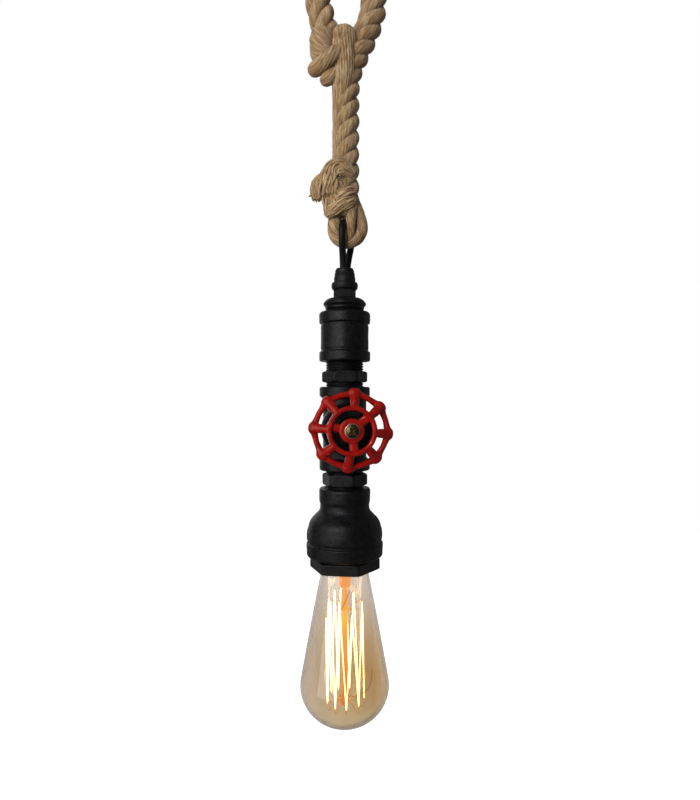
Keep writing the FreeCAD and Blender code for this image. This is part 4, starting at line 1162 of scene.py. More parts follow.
@dataclass(frozen=True)
class Fuzz:
    """Loose fibre ends that stand off the rope.

    Lean is the range of a hair's outward share, wild its share in any direction, curl how far it
    bends, sunk the depth of its root in millimetres, taper what its radius loses, and rings
    where its rings of points are.
    """

    count: int = 3400
    length: Span = (1.2, 5.0)
    radius: float = 0.07
    lean: Span = (0.15, 0.8)
    wild: float = 0.35
    curl: float = 0.35
    sunk: float = 0.3
    taper: float = 0.6
    rings: tuple[float, ...] = (0.0, 0.4, 0.75, 1.0)
    seed: int = 5

    def build(self, skins: Sequence[Skin]) -> None:
        """Makes hairs of three sides at random places of the skins.

        A hair's middle is p + L (t d + c t^2 e), with d leaning from along the yarn to outwards,
        e any direction and c the curl.

        Args:
            skins: The surfaces that the hairs grow from.
        """
        rng = np.random.default_rng(self.seed)
        places, outwards, aheads = [], [], []
        for skin in skins:
            middle = skin.rows.mean(axis=1)
            places.append(skin.rows.reshape(-1, 3))
            outwards.append(unit(skin.rows - middle[:, None]).reshape(-1, 3))
            aheads.append(np.repeat(unit(np.gradient(middle, axis=0)), skin.rows.shape[1], axis=0))
        place, outward, ahead = (np.concatenate(part) for part in (places, outwards, aheads))
        chosen = rng.integers(0, len(place), self.count)
        lean = rng.choice([-1.0, 1.0], self.count)[:, None]
        way = unit(rng.uniform(*self.lean, (self.count, 1)) * outward[chosen] + lean * ahead[chosen]
                   + self.wild * rng.normal(size=(self.count, 3)))
        bend = unit(rng.normal(size=(self.count, 3)))
        length = rng.uniform(*self.length, (self.count, 1))
        first = unit(np.cross(way, bend))
        second = np.cross(way, first)
        rings = []
        for t in self.rings:
            away = length * (t * way + self.curl * t * t * bend)
            centre = place[chosen] - self.sunk * outward[chosen] + away
            size = self.radius * (1 - self.taper * t)
            rings.append(np.stack([centre + size * (math.cos(a) * first + math.sin(a) * second)
                                   for a in (0.0, TURN / 3, 2 * TURN / 3)], axis=1))
        points = np.stack(rings, axis=1).reshape(-1, 3)
        last = 3 * len(self.rings) - 3
        base = (np.arange(self.count) * (last + 3))[:, None]
        sides = [[k + i, k + (i + 1) % 3, k + 3 + (i + 1) % 3, k + 3 + i]
                 for k in range(0, last, 3) for i in range(3)]
        faces = (base[:, None] + np.array(sides)[None]).reshape(-1, 4).tolist()
        faces += (base + np.array([2, 1, 0])).tolist() + (base + last + np.arange(3)).tolist()
        hairs = mesh_object("loose_fibres", points * MM, faces)
        LOOSE_FIBRE.dress(hairs)
        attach(hairs, Body.ROPE.value)
        log.info("loose_fibres: %d hairs", self.count)


@dataclass
class LaidRope:
    """The three-strand rope with its eye over the ceiling hook."""

    radius: float = 9.9
    pitch: float = 36.0
    strand: float = 5.1
    yarns: int = 13
    step: float = 0.75
    columns: int = 52
    start_phase: float = 0.6
    yarn_twist: float = -0.245
    seed: int = 31
    route: tuple[Point, ...] = (
        (0.5, 0, -262), (0.5, 0, -240), (0.5, 0, -212), (0.5, 0, -190), (0.7, 0, -170), (4, 0, -156),
        (13, 0, -138), (22, 0, -113.8), (20, 0, -80), (-20, 0, -80), (-21, 0, -113.8), (-13, 0, -135.8),
    )

    def strand_skin(self, line: np.ndarray, number: int) -> Skin:
        """One strand of the lay.

        Its centre runs on a helix round the rope's line, and its section is a circle with a
        ridge for each yarn. The yarns turn against the lay, so that they lie along the rope.

        Args:
            line: The rope's line in millimetres.
            number: Which of the three strands.

        Returns:
            The strand's surface.
        """
        s = along(line)
        phase = self.start_phase + TURN * (number / 3 + s / self.pitch)
        _, first, second = frames(line, np.array([0.0, -1.0, 0.0]))
        out = np.cos(phase)[:, None] * first + np.sin(phase)[:, None] * second
        centre = line + (self.radius - self.strand) * out
        return strand_surface(centre, out, self.strand, self.yarns, self.columns, self.yarn_twist,
                              self.seed + number)

    def build(self) -> list[Skin]:
        """Returns:
            The surfaces, for loose fibres to grow from.
        """
        line = even(route_line(self.route), self.step)
        skins = [self.strand_skin(line, number) for number in range(3)]
        rope = join_skins("laid_rope", skins)
        settle(rope, Body.ROPE, ROPE_JUTE, "jute", "rope", "rope_upper_eye")
        return skins


@dataclass
class Splices:
    """The tucked strands that close the two eyes of the rope."""

    upper: tuple[Strand | Tassel, ...] = (
        Strand(((-2, -6, -146), (-8, -9, -153.5), (-15, -9, -159.5), (-22, -5, -163.5), (-24, 2, -160.5)),
               5.3, 41, (0.9, 1.0, 1.05, 1.05, 0.9), yarns=15),
        Strand(((-4, -3, -161), (-9, -6, -166.5), (-14, -5, -170.5), (-17, -1, -169)), 5.0, 42,
               (0.8, 1.0, 1.0, 0.9), yarns=14),
        Strand(((-1, -3.5, -130), (-1.3, -3.8, -150), (-1.6, -3.8, -167), (-4.2, -2.8, -184),
                (-5.6, -2.2, -202), (-6, -2, -226), (-6, -1.4, -243)), 9.3, 43,
               (1.0, 1.0, 0.92, 0.56, 0.42, 0.4, 0.38), yarns=26, twist=-0.012, columns=96),
        Strand(((-15, 0, -130), (-17.5, 0, -142), (-16, 0, -152), (-9, -1, -160)), 9.4, 44,
               (1.0, 1.0, 0.95, 0.7), yarns=24, columns=80),
        Strand(((-8, 5, -146), (-5, 8, -158), (1, 7, -170), (4, 3, -180)), 5.4, 45, (0.9, 1.0, 1.0, 0.7)),
    )
    lower: tuple[Strand | Tassel, ...] = (
        Tassel(((4, -5, -240), (-1.5, -8, -235.5), (-8.5, -10, -234.5), (-12.3, -9, -241), (-12.8, -7, -255)),
               6.2, 51, (0.7, 1.0, 1.05, 1.0, 0.85), yarns=64, yarn=0.95, flat=0.7),
        Tassel(((-10, -5, -243), (-17.5, -6, -243.5), (-20.6, -5, -249), (-18.5, -4, -257)), 5.2, 52,
               (0.9, 1.05, 1.05, 0.85), yarns=50, yarn=0.85, uneven=0.1),
        Tassel(((-12, -4, -246), (-13.4, -4.5, -256), (-11.5, -5, -266)), 4.2, 63, (1.0, 1.0, 0.9), yarns=36,
               yarn=0.75),
        Tassel(((-18, -5, -250), (-23, -5, -252.4), (-27, -5, -254.6)), 1.7, 53, (1.0, 0.7, 0.2), yarns=9,
               yarn=0.5),
        Tassel(((-4, -4, -236), (-6.5, -6.5, -245), (-7, -7, -254), (-6, -6, -264)), 6.0, 60,
               (0.8, 1.0, 1.0, 0.9), yarns=56, yarn=0.7, flat=0.5),
        Tassel(((-14, -3, -267), (-9, -8, -263), (0, -10, -259), (7, -5, -255)), 4.3, 54,
               (0.7, 1.0, 1.0, 0.7), yarns=48, yarn=0.75),
        Tassel(((-12, -4, -257), (-5, -9.5, -254), (2.5, -9, -250), (6.5, -4, -249)), 3.9, 55,
               (0.8, 1.0, 1.0, 0.7), yarns=40, yarn=0.75),
        Tassel(((-9, -5, -262), (-13, -5.5, -265), (-15.8, -5.5, -267.6)), 2.4, 56, (1.0, 0.9, 0.3), yarns=12,
               yarn=0.55),
        Strand(((-3, -5, -267), (0, -6.5, -262), (4.2, -6, -264), (3.3, -4.5, -274), (2.9, -3.5, -281),
                (1.5, -1.5, -286)), 3.7, 57, (0.8, 1.0, 1.0, 1.0, 0.9, 0.7), yarns=11),
        Strand(((-6, 1, -261), (0, 1.5, -264.5), (6, 1, -261)), 4.2, 62),
        Strand(((-7, 7, -260), (0, 8, -263.2), (7, 7, -260)), 4.4, 64),
        Strand(((-4, 4, -264), (-4, 7, -252), (0, 7, -238), (3, 4, -226)), 6.2, 58, (0.8, 1.0, 0.9, 0.6)),
        Strand(((3, 4, -262), (3, 7, -254), (-3, 9, -246), (-9, 5, -240)), 4.6, 59, (0.8, 1.0, 1.0, 0.7)),
    )
    eye: Strand = Strand(
        ((-3, 1, -247), (-5.5, 0.5, -260), (-8.1, 0, -270), (-8.1, 0, -280), (-3, 0, -284.8), (4, 0, -284.8),
         (10.3, 0, -281), (12.4, 0, -272.5), (8, 0, -261), (3, 1, -247)), 4.9, 61, (1.0, 1.0), yarns=14)

    def build(self) -> list[Skin]:
        """Returns:
            The surfaces, for loose fibres to grow from.
        """
        upper = self.skins_of(self.upper)
        lower = self.skins_of(self.lower)
        eye = self.eye.skin()
        settle(join_skins("upper_splice", upper), Body.ROPE, ROPE_JUTE, "jute", "rope_upper_splice")
        settle(join_skins("lower_splice", lower), Body.ROPE, ROPE_JUTE, "jute", "rope_lower_splice")
        loop = settle(join_skins("lower_eye", [eye]), Body.ROPE, ROPE_JUTE, "jute", "rope_lower_eye")
        line = self.eye.line()
        return [*upper, *lower, eye]

    def skins_of(self, parts: Sequence[Strand | Tassel]) -> list[Skin]:
        """The surfaces of strands and tassels in order.

        Args:
            parts: The strands and tassels.

        Returns:
            The surfaces; a tassel has many.
        """
        skins: list[Skin] = []
        for part in parts:
            skins += part.skins() if isinstance(part, Tassel) else [part.skin()]
        return skins


@dataclass
class CableLoop:
    """The lamp's cable, folded over the lower eye and clamped in the cord grip."""

    route: tuple[Point, ...] = (
        (-1.2, 1.6, -312.2), (-1.2, 1.6, -301.6), (-3.6, -10.4, -283), (-2.6, -7, -272.5),
        (0.6, 2.7, -270.5), (7, 9.6, -278.9), (1.7, 6.4, -301.6), (1.7, 6.4, -312.2),
    )
    radius: float = 2.5

    def build(self) -> None:
        """A round cable swept along the route."""
        data = bpy.data.curves.new("cable_over_eye", "CURVE")
        lay_route(data, self.route)
        data.resolution_u = 16
        data.bevel_depth = self.radius * MM
        data.bevel_resolution = 6
        data.use_fill_caps = True
        cable = bpy.data.objects.new("cable_over_eye", data)
        bpy.context.collection.objects.link(cable)
        settle(cable, Body.LAMP, CABLE_SHEATH, "cable_sheath", "cable_loop")
        line = route_line(self.route)


# Pipe fittings


SAND_WAVE = 2.6  # spacing in millimetres of the waves on castings; spacing and height on coated hexagons
COAT_WAVE = 2.0
COAT_RISE = 0.05
THREAD_COLUMNS = 120
HEXAGON_COLUMNS = 240


def displaced(grid: np.ndarray, height: float, cell: float, seed: int) -> np.ndarray:
    """Moves a grid of points along its own normals by smooth random lumps.

    Args:
        grid: Points in millimetres, closed along the rows and round the columns.
        height: The largest move in millimetres.
        cell: Size of the lumps in millimetres.
        seed: Which lumps.

    Returns:
        The moved points.
    """
    rows = np.roll(grid, -1, axis=0) - np.roll(grid, 1, axis=0)
    columns = np.roll(grid, -1, axis=1) - np.roll(grid, 1, axis=1)
    normal = unit(np.cross(columns, rows))
    return grid + normal * (height * lumps(grid, cell, seed))[..., None]


def cast_skin(corners: Sequence[tuple[float, ...]], at: Point, seed: int, rough: float, columns: int = 160,
              step: float = 1.0) -> Skin:
    """A turned casting with the slight waves of a sand mould.

    Args:
        corners: The closed half outline, counted up the outside and down the bore.
        at: Where the axis stands.
        seed: Which waves.
        rough: Height of the waves in millimetres.
        columns: Points round the axis.
        step: Longest side along the outline in millimetres.

    Returns:
        The surface.
    """
    grid = spun(spread(outline(corners), step), columns, at)
    return Skin(displaced(grid, rough, SAND_WAVE, seed), ring=True)


def thread_skin(radius: float, bore: float, low: float, high: float, at: Point, pitch: float = 1.81,
                depth: float = 0.95) -> Skin:
    """A screw thread with a bore.

    The radius at angle a and height z is R - d (0.5 + 0.5 cos(2 pi (z / p - a / 2 pi)))^0.8, so
    that the crest climbs one pitch p with each turn.

    Args:
        radius: Crest radius R in millimetres.
        bore: Bore radius.
        low: Bottom height.
        high: Top height.
        at: Where the axis stands.
        pitch: Pitch p.
        depth: Depth d.

    Returns:
        The surface.
    """
    rows = max(4, round((high - low) / (pitch / 10)))
    z = np.linspace(low, high, rows)[:, None]
    a = turns(THREAD_COLUMNS)[None]
    r = radius - depth * (0.5 + 0.5 * np.cos(TURN * z / pitch - a)) ** 0.8
    inner = spun(np.array([[bore, high], [bore, low]]), THREAD_COLUMNS)
    return Skin(np.concatenate([polar(r, a, z), inner]) + np.array(at), ring=True)


def hex_skin(across: float, bore: float, low: float, high: float, turn_deg: float, at: Point, seed: int,
             chamfer: float = 0.8, edge: float = 0.45) -> Skin:
    """A hexagonal block with a bore and soft edges.

    The side is f / cos(a) from the axis, with f half the size across flats and a the angle from
    the middle of the nearest flat. It is blended into the corner's radius by a soft minimum, held
    under a cone at each end, and rounded over a quarter circle at its upper and lower edges.

    Args:
        across: Size across flats in millimetres.
        bore: Bore radius.
        low: Bottom height.
        high: Top height.
        turn_deg: Turn of the corners in degrees.
        at: Where the axis stands.
        seed: Which waves the coat has.
        chamfer: Height of the turned chamfer.
        edge: How soft the edges are.

    Returns:
        The surface.
    """
    flat = across / 2
    height = high - low
    corner = flat / math.cos(math.pi / 6)
    angle = turns(HEXAGON_COLUMNS)
    away = np.mod(angle - math.radians(turn_deg), TURN / 6) - TURN / 12
    soft = 0.35 * edge
    reach = -np.logaddexp(-flat / np.cos(away) / soft, -(corner - soft) / soft) * soft
    quarter = np.linspace(0, 1, 7) * math.pi / 2
    upright = np.linspace(edge, height - edge, 12)[1:-1]
    rounded = edge * (1 - np.cos(quarter))
    inset = edge * (1 - np.sin(quarter))
    rise = np.concatenate([rounded, upright, height - rounded[::-1]])
    inset = np.concatenate([inset, np.zeros(len(upright)), inset[::-1]])
    cone = 0.2 + np.clip(np.minimum(rise, height - rise) / chamfer, 0, 1) * (corner - flat)
    side = np.minimum(reach[None], flat + cone[:, None]) - inset[:, None]
    inner = spun(np.array([[bore, high], [bore, low]]), HEXAGON_COLUMNS)
    grid = np.concatenate([polar(side, angle, low + rise[:, None]), inner]) + np.array(at)
    return Skin(displaced(grid, COAT_RISE, COAT_WAVE, seed), ring=True)


@dataclass
class PipeFittings:
    """The black fittings on the pipe axis, from the plug down to the hex bushing."""

    axis: Point = (0.0, 4.0, 0.0)
    thread: float = 14.0
    bore: float = 9.5
    plug_bore: float = 7.2
    flats: float = 29.3
    overlap: float = 0.3
    rib_height: float = 0.5
    rib_width: Span = (2.9, 1.5)
    rib_foot: Span = (-505.0, -503.6)
    rib_head: Span = (-492.2, -494.6)
    bushing_bore: float = 18.2

    def build(self) -> None:
        """Makes the turned and cast fittings in order from the top."""
        self.build_plug()
        self.build_coupling()
        self.build_nipple("upper_nipple", "upper_hex_nipple", -387.1, -379.0, 18.3, 14.3, -3.5, 71)
        self.build_nipple("lower_nipple", "lower_hex_nipple", -462.2, -453.7, 13.5, 13.2, -14.5, 72)
        self.build_reducer()
        self.build_bushing()

    def build_plug(self) -> None:
        """The domed plug with its turned steps, and the thread under it."""
        dome = cast_skin([
            (self.plug_bore, -334.0), (13.6, -334.0), (14.3, -333.2, 0.3), (14.3, -331.9, 0.6),
            (15.5, -330.6, 0.5), (15.8, -329.6, 0.5), (15.5, -328.9, 0.2), (15.1, -328.7, 0.2),
            (14.9, -328.0, 0.4), (14.4, -327.5, 0.2), (14.0, -327.3, 0.2), (13.6, -326.7, 0.5),
            (12.4, -326.1, 0.5), (11.9, -325.9, 0.2), (10.5, -325.5, 0.5), (9.2, -325.2, 0.4),
            (self.plug_bore, -325.2),
        ], self.axis, 61, rough=0.02, step=0.7)
        neck = thread_skin(self.thread, self.plug_bore, -343.0, -333.6, self.axis)
        settle(join_skins("domed_plug", [dome, neck]), Body.LAMP, SMOOTH_COAT, "black_coated_steel",
               "coupling_plug")

    def build_coupling(self) -> None:
        """The banded socket, with a groove beside each band and a ledge between its two threads."""
        shell = cast_skin([
            (14.1, -371.7), (18.4, -371.7, 0.9), (18.75, -370.6, 0.6), (18.7, -364.9, 0.5),
            (17.3, -364.2, 0.4), (17.25, -363.2, 0.4), (17.6, -362.2, 0.6), (17.4, -354.0, 8.0),
            (17.6, -346.4, 0.6), (17.25, -345.4, 0.4), (17.3, -344.4, 0.4), (18.7, -343.7, 0.5),
            (18.75, -337.1, 0.7), (17.6, -335.6, 0.8), (14.1, -335.5), (14.1, -347.5), (12.0, -347.5),
            (12.0, -359.7), (14.1, -359.7),
        ], self.axis, 62, rough=0.09)
        settle(join_skins("banded_coupling", [shell]), Body.LAMP, CAST_COAT, "black_coated_iron",
               "upper_coupling")

    def build_nipple(self, name: str, node: str, low: float, high: float, above: float, below: float,
                     turn_deg: float, seed: int) -> None:
        """A hexagon between two threads.

        Args:
            name: The piece's name.
            node: The CAD node that it stands for.
            low: Bottom of the hexagon.
            high: Top of the hexagon.
            above: Length of thread above it.
            below: Length of thread below it.
            turn_deg: Turn of the hexagon.
            seed: Which waves the coat has.
        """
        block = hex_skin(self.flats, self.bore, low, high, turn_deg, self.axis, seed)
        top = thread_skin(self.thread, self.bore, high - self.overlap, high + above, self.axis)
        bottom = thread_skin(self.thread, self.bore, low - below, low + self.overlap, self.axis)
        settle(join_skins(name, [block, top, bottom]), Body.LAMP, CAST_COAT, "black_coated_iron", node)

    def build_reducer(self) -> None:
        """The bell reducer, with a groove above its lower band.

        The two ribs at its sides are added to the radius, as the rib's height times a smooth step
        in from each edge, from the foot and from the head.
        """
        skin = cast_skin([
            (21.1, -514.1), (26.2, -514.1, 0.7), (27.8, -512.9, 0.8), (28.1, -504.5, 0.5),
            (26.8, -503.8, 0.4), (26.8, -502.8, 0.5), (27.4, -501.4, 0.8), (27.4, -497.5, 3.0),
            (26.2, -488.8, 3.5), (22.2, -484.4, 4.0), (18.2, -480.6, 3.0), (17.9, -475.9, 0.9),
            (18.6, -474.0, 0.7), (18.8, -465.8, 0.8), (18.2, -464.4, 0.6), (14.1, -464.4), (14.1, -481.3),
            (22.5, -491.8), (22.5, -496.9), (21.1, -498.4),
        ], self.axis, 63, rough=0.1, columns=240)
        place = skin.rows - np.array(self.axis)
        radius = np.hypot(place[..., 0], place[..., 1])
        raised = (radius > 25.0) * self.rib_height * smooth_step(*self.rib_width, np.abs(place[..., 1]))
        raised *= smooth_step(*self.rib_foot, place[..., 2]) * smooth_step(*self.rib_head, place[..., 2])
        skin.rows[..., :2] = place[..., :2] * (1 + raised / radius)[..., None] + np.array(self.axis[:2])
        settle(join_skins("bell_reducer", [skin]), Body.LAMP, CAST_COAT, "black_coated_iron", "reducer")

    def build_bushing(self) -> None:
        """The hex bushing that closes the reducer."""
        block = hex_skin(45.2, self.bushing_bore, -523.2, -515.6, -13.9, self.axis, 64, 0.25, 0.5)
        thread = thread_skin(20.9, self.bushing_bore, -515.9, -501.1, self.axis, pitch=2.3, depth=1.0)
        settle(join_skins("hexagon_bushing", [block, thread]), Body.LAMP, CAST_COAT, "black_coated_iron",
               "hex_bushing")


# Handwheel


@dataclass
class Handwheel:
    """The cast and enamelled wheel with its washer and cross-recessed screw.

    Sizes are worked out about Z and turned to the front; heights count from the pipe axis. An
    arm is two bars side by side, and a rim bar is two that meet halfway between the tips.
    """

    centre: Point = (0.0, 4.0, -420.4)
    front: float = 49.6
    ring_radii: Span = (13.4, 16.7)
    ring_half: float = 2.6
    hub_radius: float = 8.3
    hub_levels: Span = (39.4, 47.6)
    arm_from: Span = (6.5, 44.9)
    arm_to: Span = (15.0, 45.6)
    arm_offset: float = 0.9
    spoke_root: float = 16.0
    rim_level: float = 40.5
    tip_circle: float = 25.3
    rim_middle: float = 24.2
    knob_circle: float = 24.9
    knob_half_deg: float = 1.6
    arm_bar: tuple[float, ...] = (2.1, 2.0, 2.2)
    spoke_bar: tuple[float, ...] = (2.5, 3.15, 3.2, 3.4)
    knob_bar: tuple[float, ...] = (3.75, 3.75)
    rim_bar: tuple[float, ...] = (3.3, 2.5, 2.1, 2.0)
    grid_mm: float = 0.42
    tip_angles: tuple[float, ...] = (38.5, 84.0, 129.5, 175.5, 219.5, 265.5, 312.5, 354.8)
    arm_angles: tuple[float, ...] = (40.0, 168.0, 277.0)

    def build(self) -> None:
        """Makes the wheel, the washer and the screw."""
        self.build_wheel()
        self.build_washer()
        self.build_screw()

    def bar(self, start: Point, end: Point, radii: tuple[float, ...]) -> Skin:
        """A round bar with ball ends.

        Past an end at distance d the radius is r sqrt(1 - (d / r)^2). The rows there stand at
        even angles of the ball, and those of the last ball one step further on.

        Args:
            start: Middle of the first ball.
            end: Middle of the last ball.
            radii: Radii at equal distances from start to end, blended between.

        Returns:
            The bar's surface.
        """
        a, b = np.array(start, float), np.array(end, float)
        length = float(np.linalg.norm(b - a))
        turn = np.linspace(0, math.pi / 2, 7)[:-1]
        s = np.concatenate([-radii[0] * np.cos(turn), np.linspace(0, length, 12),
                            length + radii[-1] * np.sin(turn + 0.26)])
        body = np.interp(s, np.linspace(0, length, len(radii)), radii)
        over = np.maximum(np.maximum(-s / radii[0], (s - length) / radii[-1]), 0)
        radius = body * np.sqrt(np.clip(1 - over ** 2, 0.0004, 1))
        return Skin(tube_grid(a + s[:, None] * unit(b - a), np.array([0.0, 0.0, 1.0]), radius, 20))

    def on_circle(self, radius: float, angle_deg: float, level: float) -> Point:
        """A point round the wheel's axis."""
        a = math.radians(angle_deg)
        return (radius * math.cos(a), radius * math.sin(a), level)

    def middle_skins(self) -> list[Skin]:
        """The ring, the hub and the arms between them.

        Returns:
            Their surfaces, about Z.
        """
        inner, outer = self.ring_radii
        back = self.front - 2 * self.ring_half
        low, high = self.hub_levels
        ring = outline([(inner, back, 1.2), (outer, back, 1.2), (outer, self.front, 1.5),
                        (inner, self.front, 1.5)])
        hub = outline([(AXIS_GAP, low), (self.hub_radius, low, 0.8), (self.hub_radius, high, 1.2),
                       (AXIS_GAP, high)], closed=False)
        skins = [Skin(spun(ring, 96), ring=True), Skin(spun(hub, 64))]
        for angle in self.arm_angles:
            for side in (-self.arm_offset, self.arm_offset):
                offset = np.array(self.on_circle(side, angle + 90, 0.0))
                start, end = (np.array(self.on_circle(radius, angle, level)) + offset
                              for radius, level in (self.arm_from, self.arm_to))
                skins.append(self.bar(tuple(start), tuple(end), self.arm_bar))
        return skins

    def outer_skins(self) -> list[Skin]:
        """The spokes, the knobs at their tips and the rim bars.

        Returns:
            Their surfaces, about Z.
        """
        skins = []
        tips = [self.on_circle(self.tip_circle, angle, self.rim_level) for angle in self.tip_angles]
        for i, (angle, tip) in enumerate(zip(self.tip_angles, tips)):
            after = (i + 1) % len(tips)
            gap = (self.tip_angles[after] - angle) % 360
            root = self.on_circle(self.spoke_root, angle, self.front - self.ring_half)
            before, behind = (self.on_circle(self.knob_circle, angle + turn, self.rim_level)
                              for turn in (-self.knob_half_deg, self.knob_half_deg))
            middle = self.on_circle(self.rim_middle, angle + gap / 2, self.rim_level)
            skins += [self.bar(root, tip, self.spoke_bar), self.bar(before, behind, self.knob_bar),
                      self.bar(tip, middle, self.rim_bar), self.bar(tips[after], middle, self.rim_bar)]
        return skins

    def build_wheel(self) -> None:
        """Melts ring, hub, arms, spokes, knobs and rim bars into one casting.

        The parts are joined, rebuilt as one closed surface on a fine grid and smoothed, which
        leaves the soft fillets of a casting where they meet.
        """
        skins = [*self.middle_skins(), *self.outer_skins()]
        for skin in skins:
            skin.rows = facing_front(skin.rows, self.centre)
        rough = join_skins("wheel_parts", skins)
        remesh = rough.modifiers.new("melt", "REMESH")
        remesh.mode = "VOXEL"
        remesh.voxel_size = self.grid_mm * MM
        smooth = rough.modifiers.new("soften", "SMOOTH")
        smooth.factor = 0.5
        smooth.iterations = 7
        bpy.context.view_layer.update()
        mesh = bpy.data.meshes.new_from_object(rough.evaluated_get(bpy.context.evaluated_depsgraph_get()))
        mesh.polygons.foreach_set("use_smooth", np.ones(len(mesh.polygons), bool))
        wheel = bpy.data.objects.new("enamelled_wheel", mesh)
        bpy.context.collection.objects.link(wheel)
        bpy.data.objects.remove(rough)
        settle(wheel, Body.WHEEL, WHEEL_ENAMEL, "red_enamel", "handwheel")

    def build_washer(self) -> None:
        """The washer under the screw's head."""
        ring = outline([(2.4, 47.7), (5.0, 47.7, 0.2), (5.0, 48.4, 0.3), (2.4, 48.4)])
        skin = Skin(facing_front(spun(ring, 64), self.centre), ring=True)
        settle(join_skins("screw_washer", [skin]), Body.WHEEL, ZINC, "zinc_plated_steel", "wheel_washer")

    def build_screw(self) -> None:
        """The domed head with its cross recess.

        Over its edge the dome rises h (1 - (r / R)^2.2). The recess is the larger of two smooth
        bars across each other, and its depth falls evenly from the middle outwards.
        """
        radius, edge, rise = 4.6, 49.4, 1.4
        half_width, half_length = (0.75, 0.4), (2.7, 2.1)
        depth, fall = 1.35, 0.3
        along_x, along_y = 0.78, 0.62
        r = np.concatenate([[radius, radius], np.linspace(4.55, 0.02, 40)])
        level = np.concatenate([[48.4, 49.3], edge + rise * (1 - (r[2:] / radius) ** 2.2)])
        grid = spun(np.stack([r, level], axis=1), 128)
        x, y = grid[..., 0], grid[..., 1]
        one, other = np.abs(x * along_x + y * along_y), np.abs(y * along_x - x * along_y)
        cross = np.maximum(smooth_step(*half_width, one) * smooth_step(*half_length, other),
                           smooth_step(*half_width, other) * smooth_step(*half_length, one))
        grid[..., 2] -= cross * (depth - fall * np.hypot(x, y))
        shank = Skin(facing_front(spun(np.array([[2.0, 40.0], [2.0, 48.6]]), 24), self.centre))
        head = Skin(facing_front(grid, self.centre))
        settle(join_skins("cross_screw", [head, shank]), Body.WHEEL, DULL_BRASS, "turned_brass",
               "wheel_screw")


# Bulb


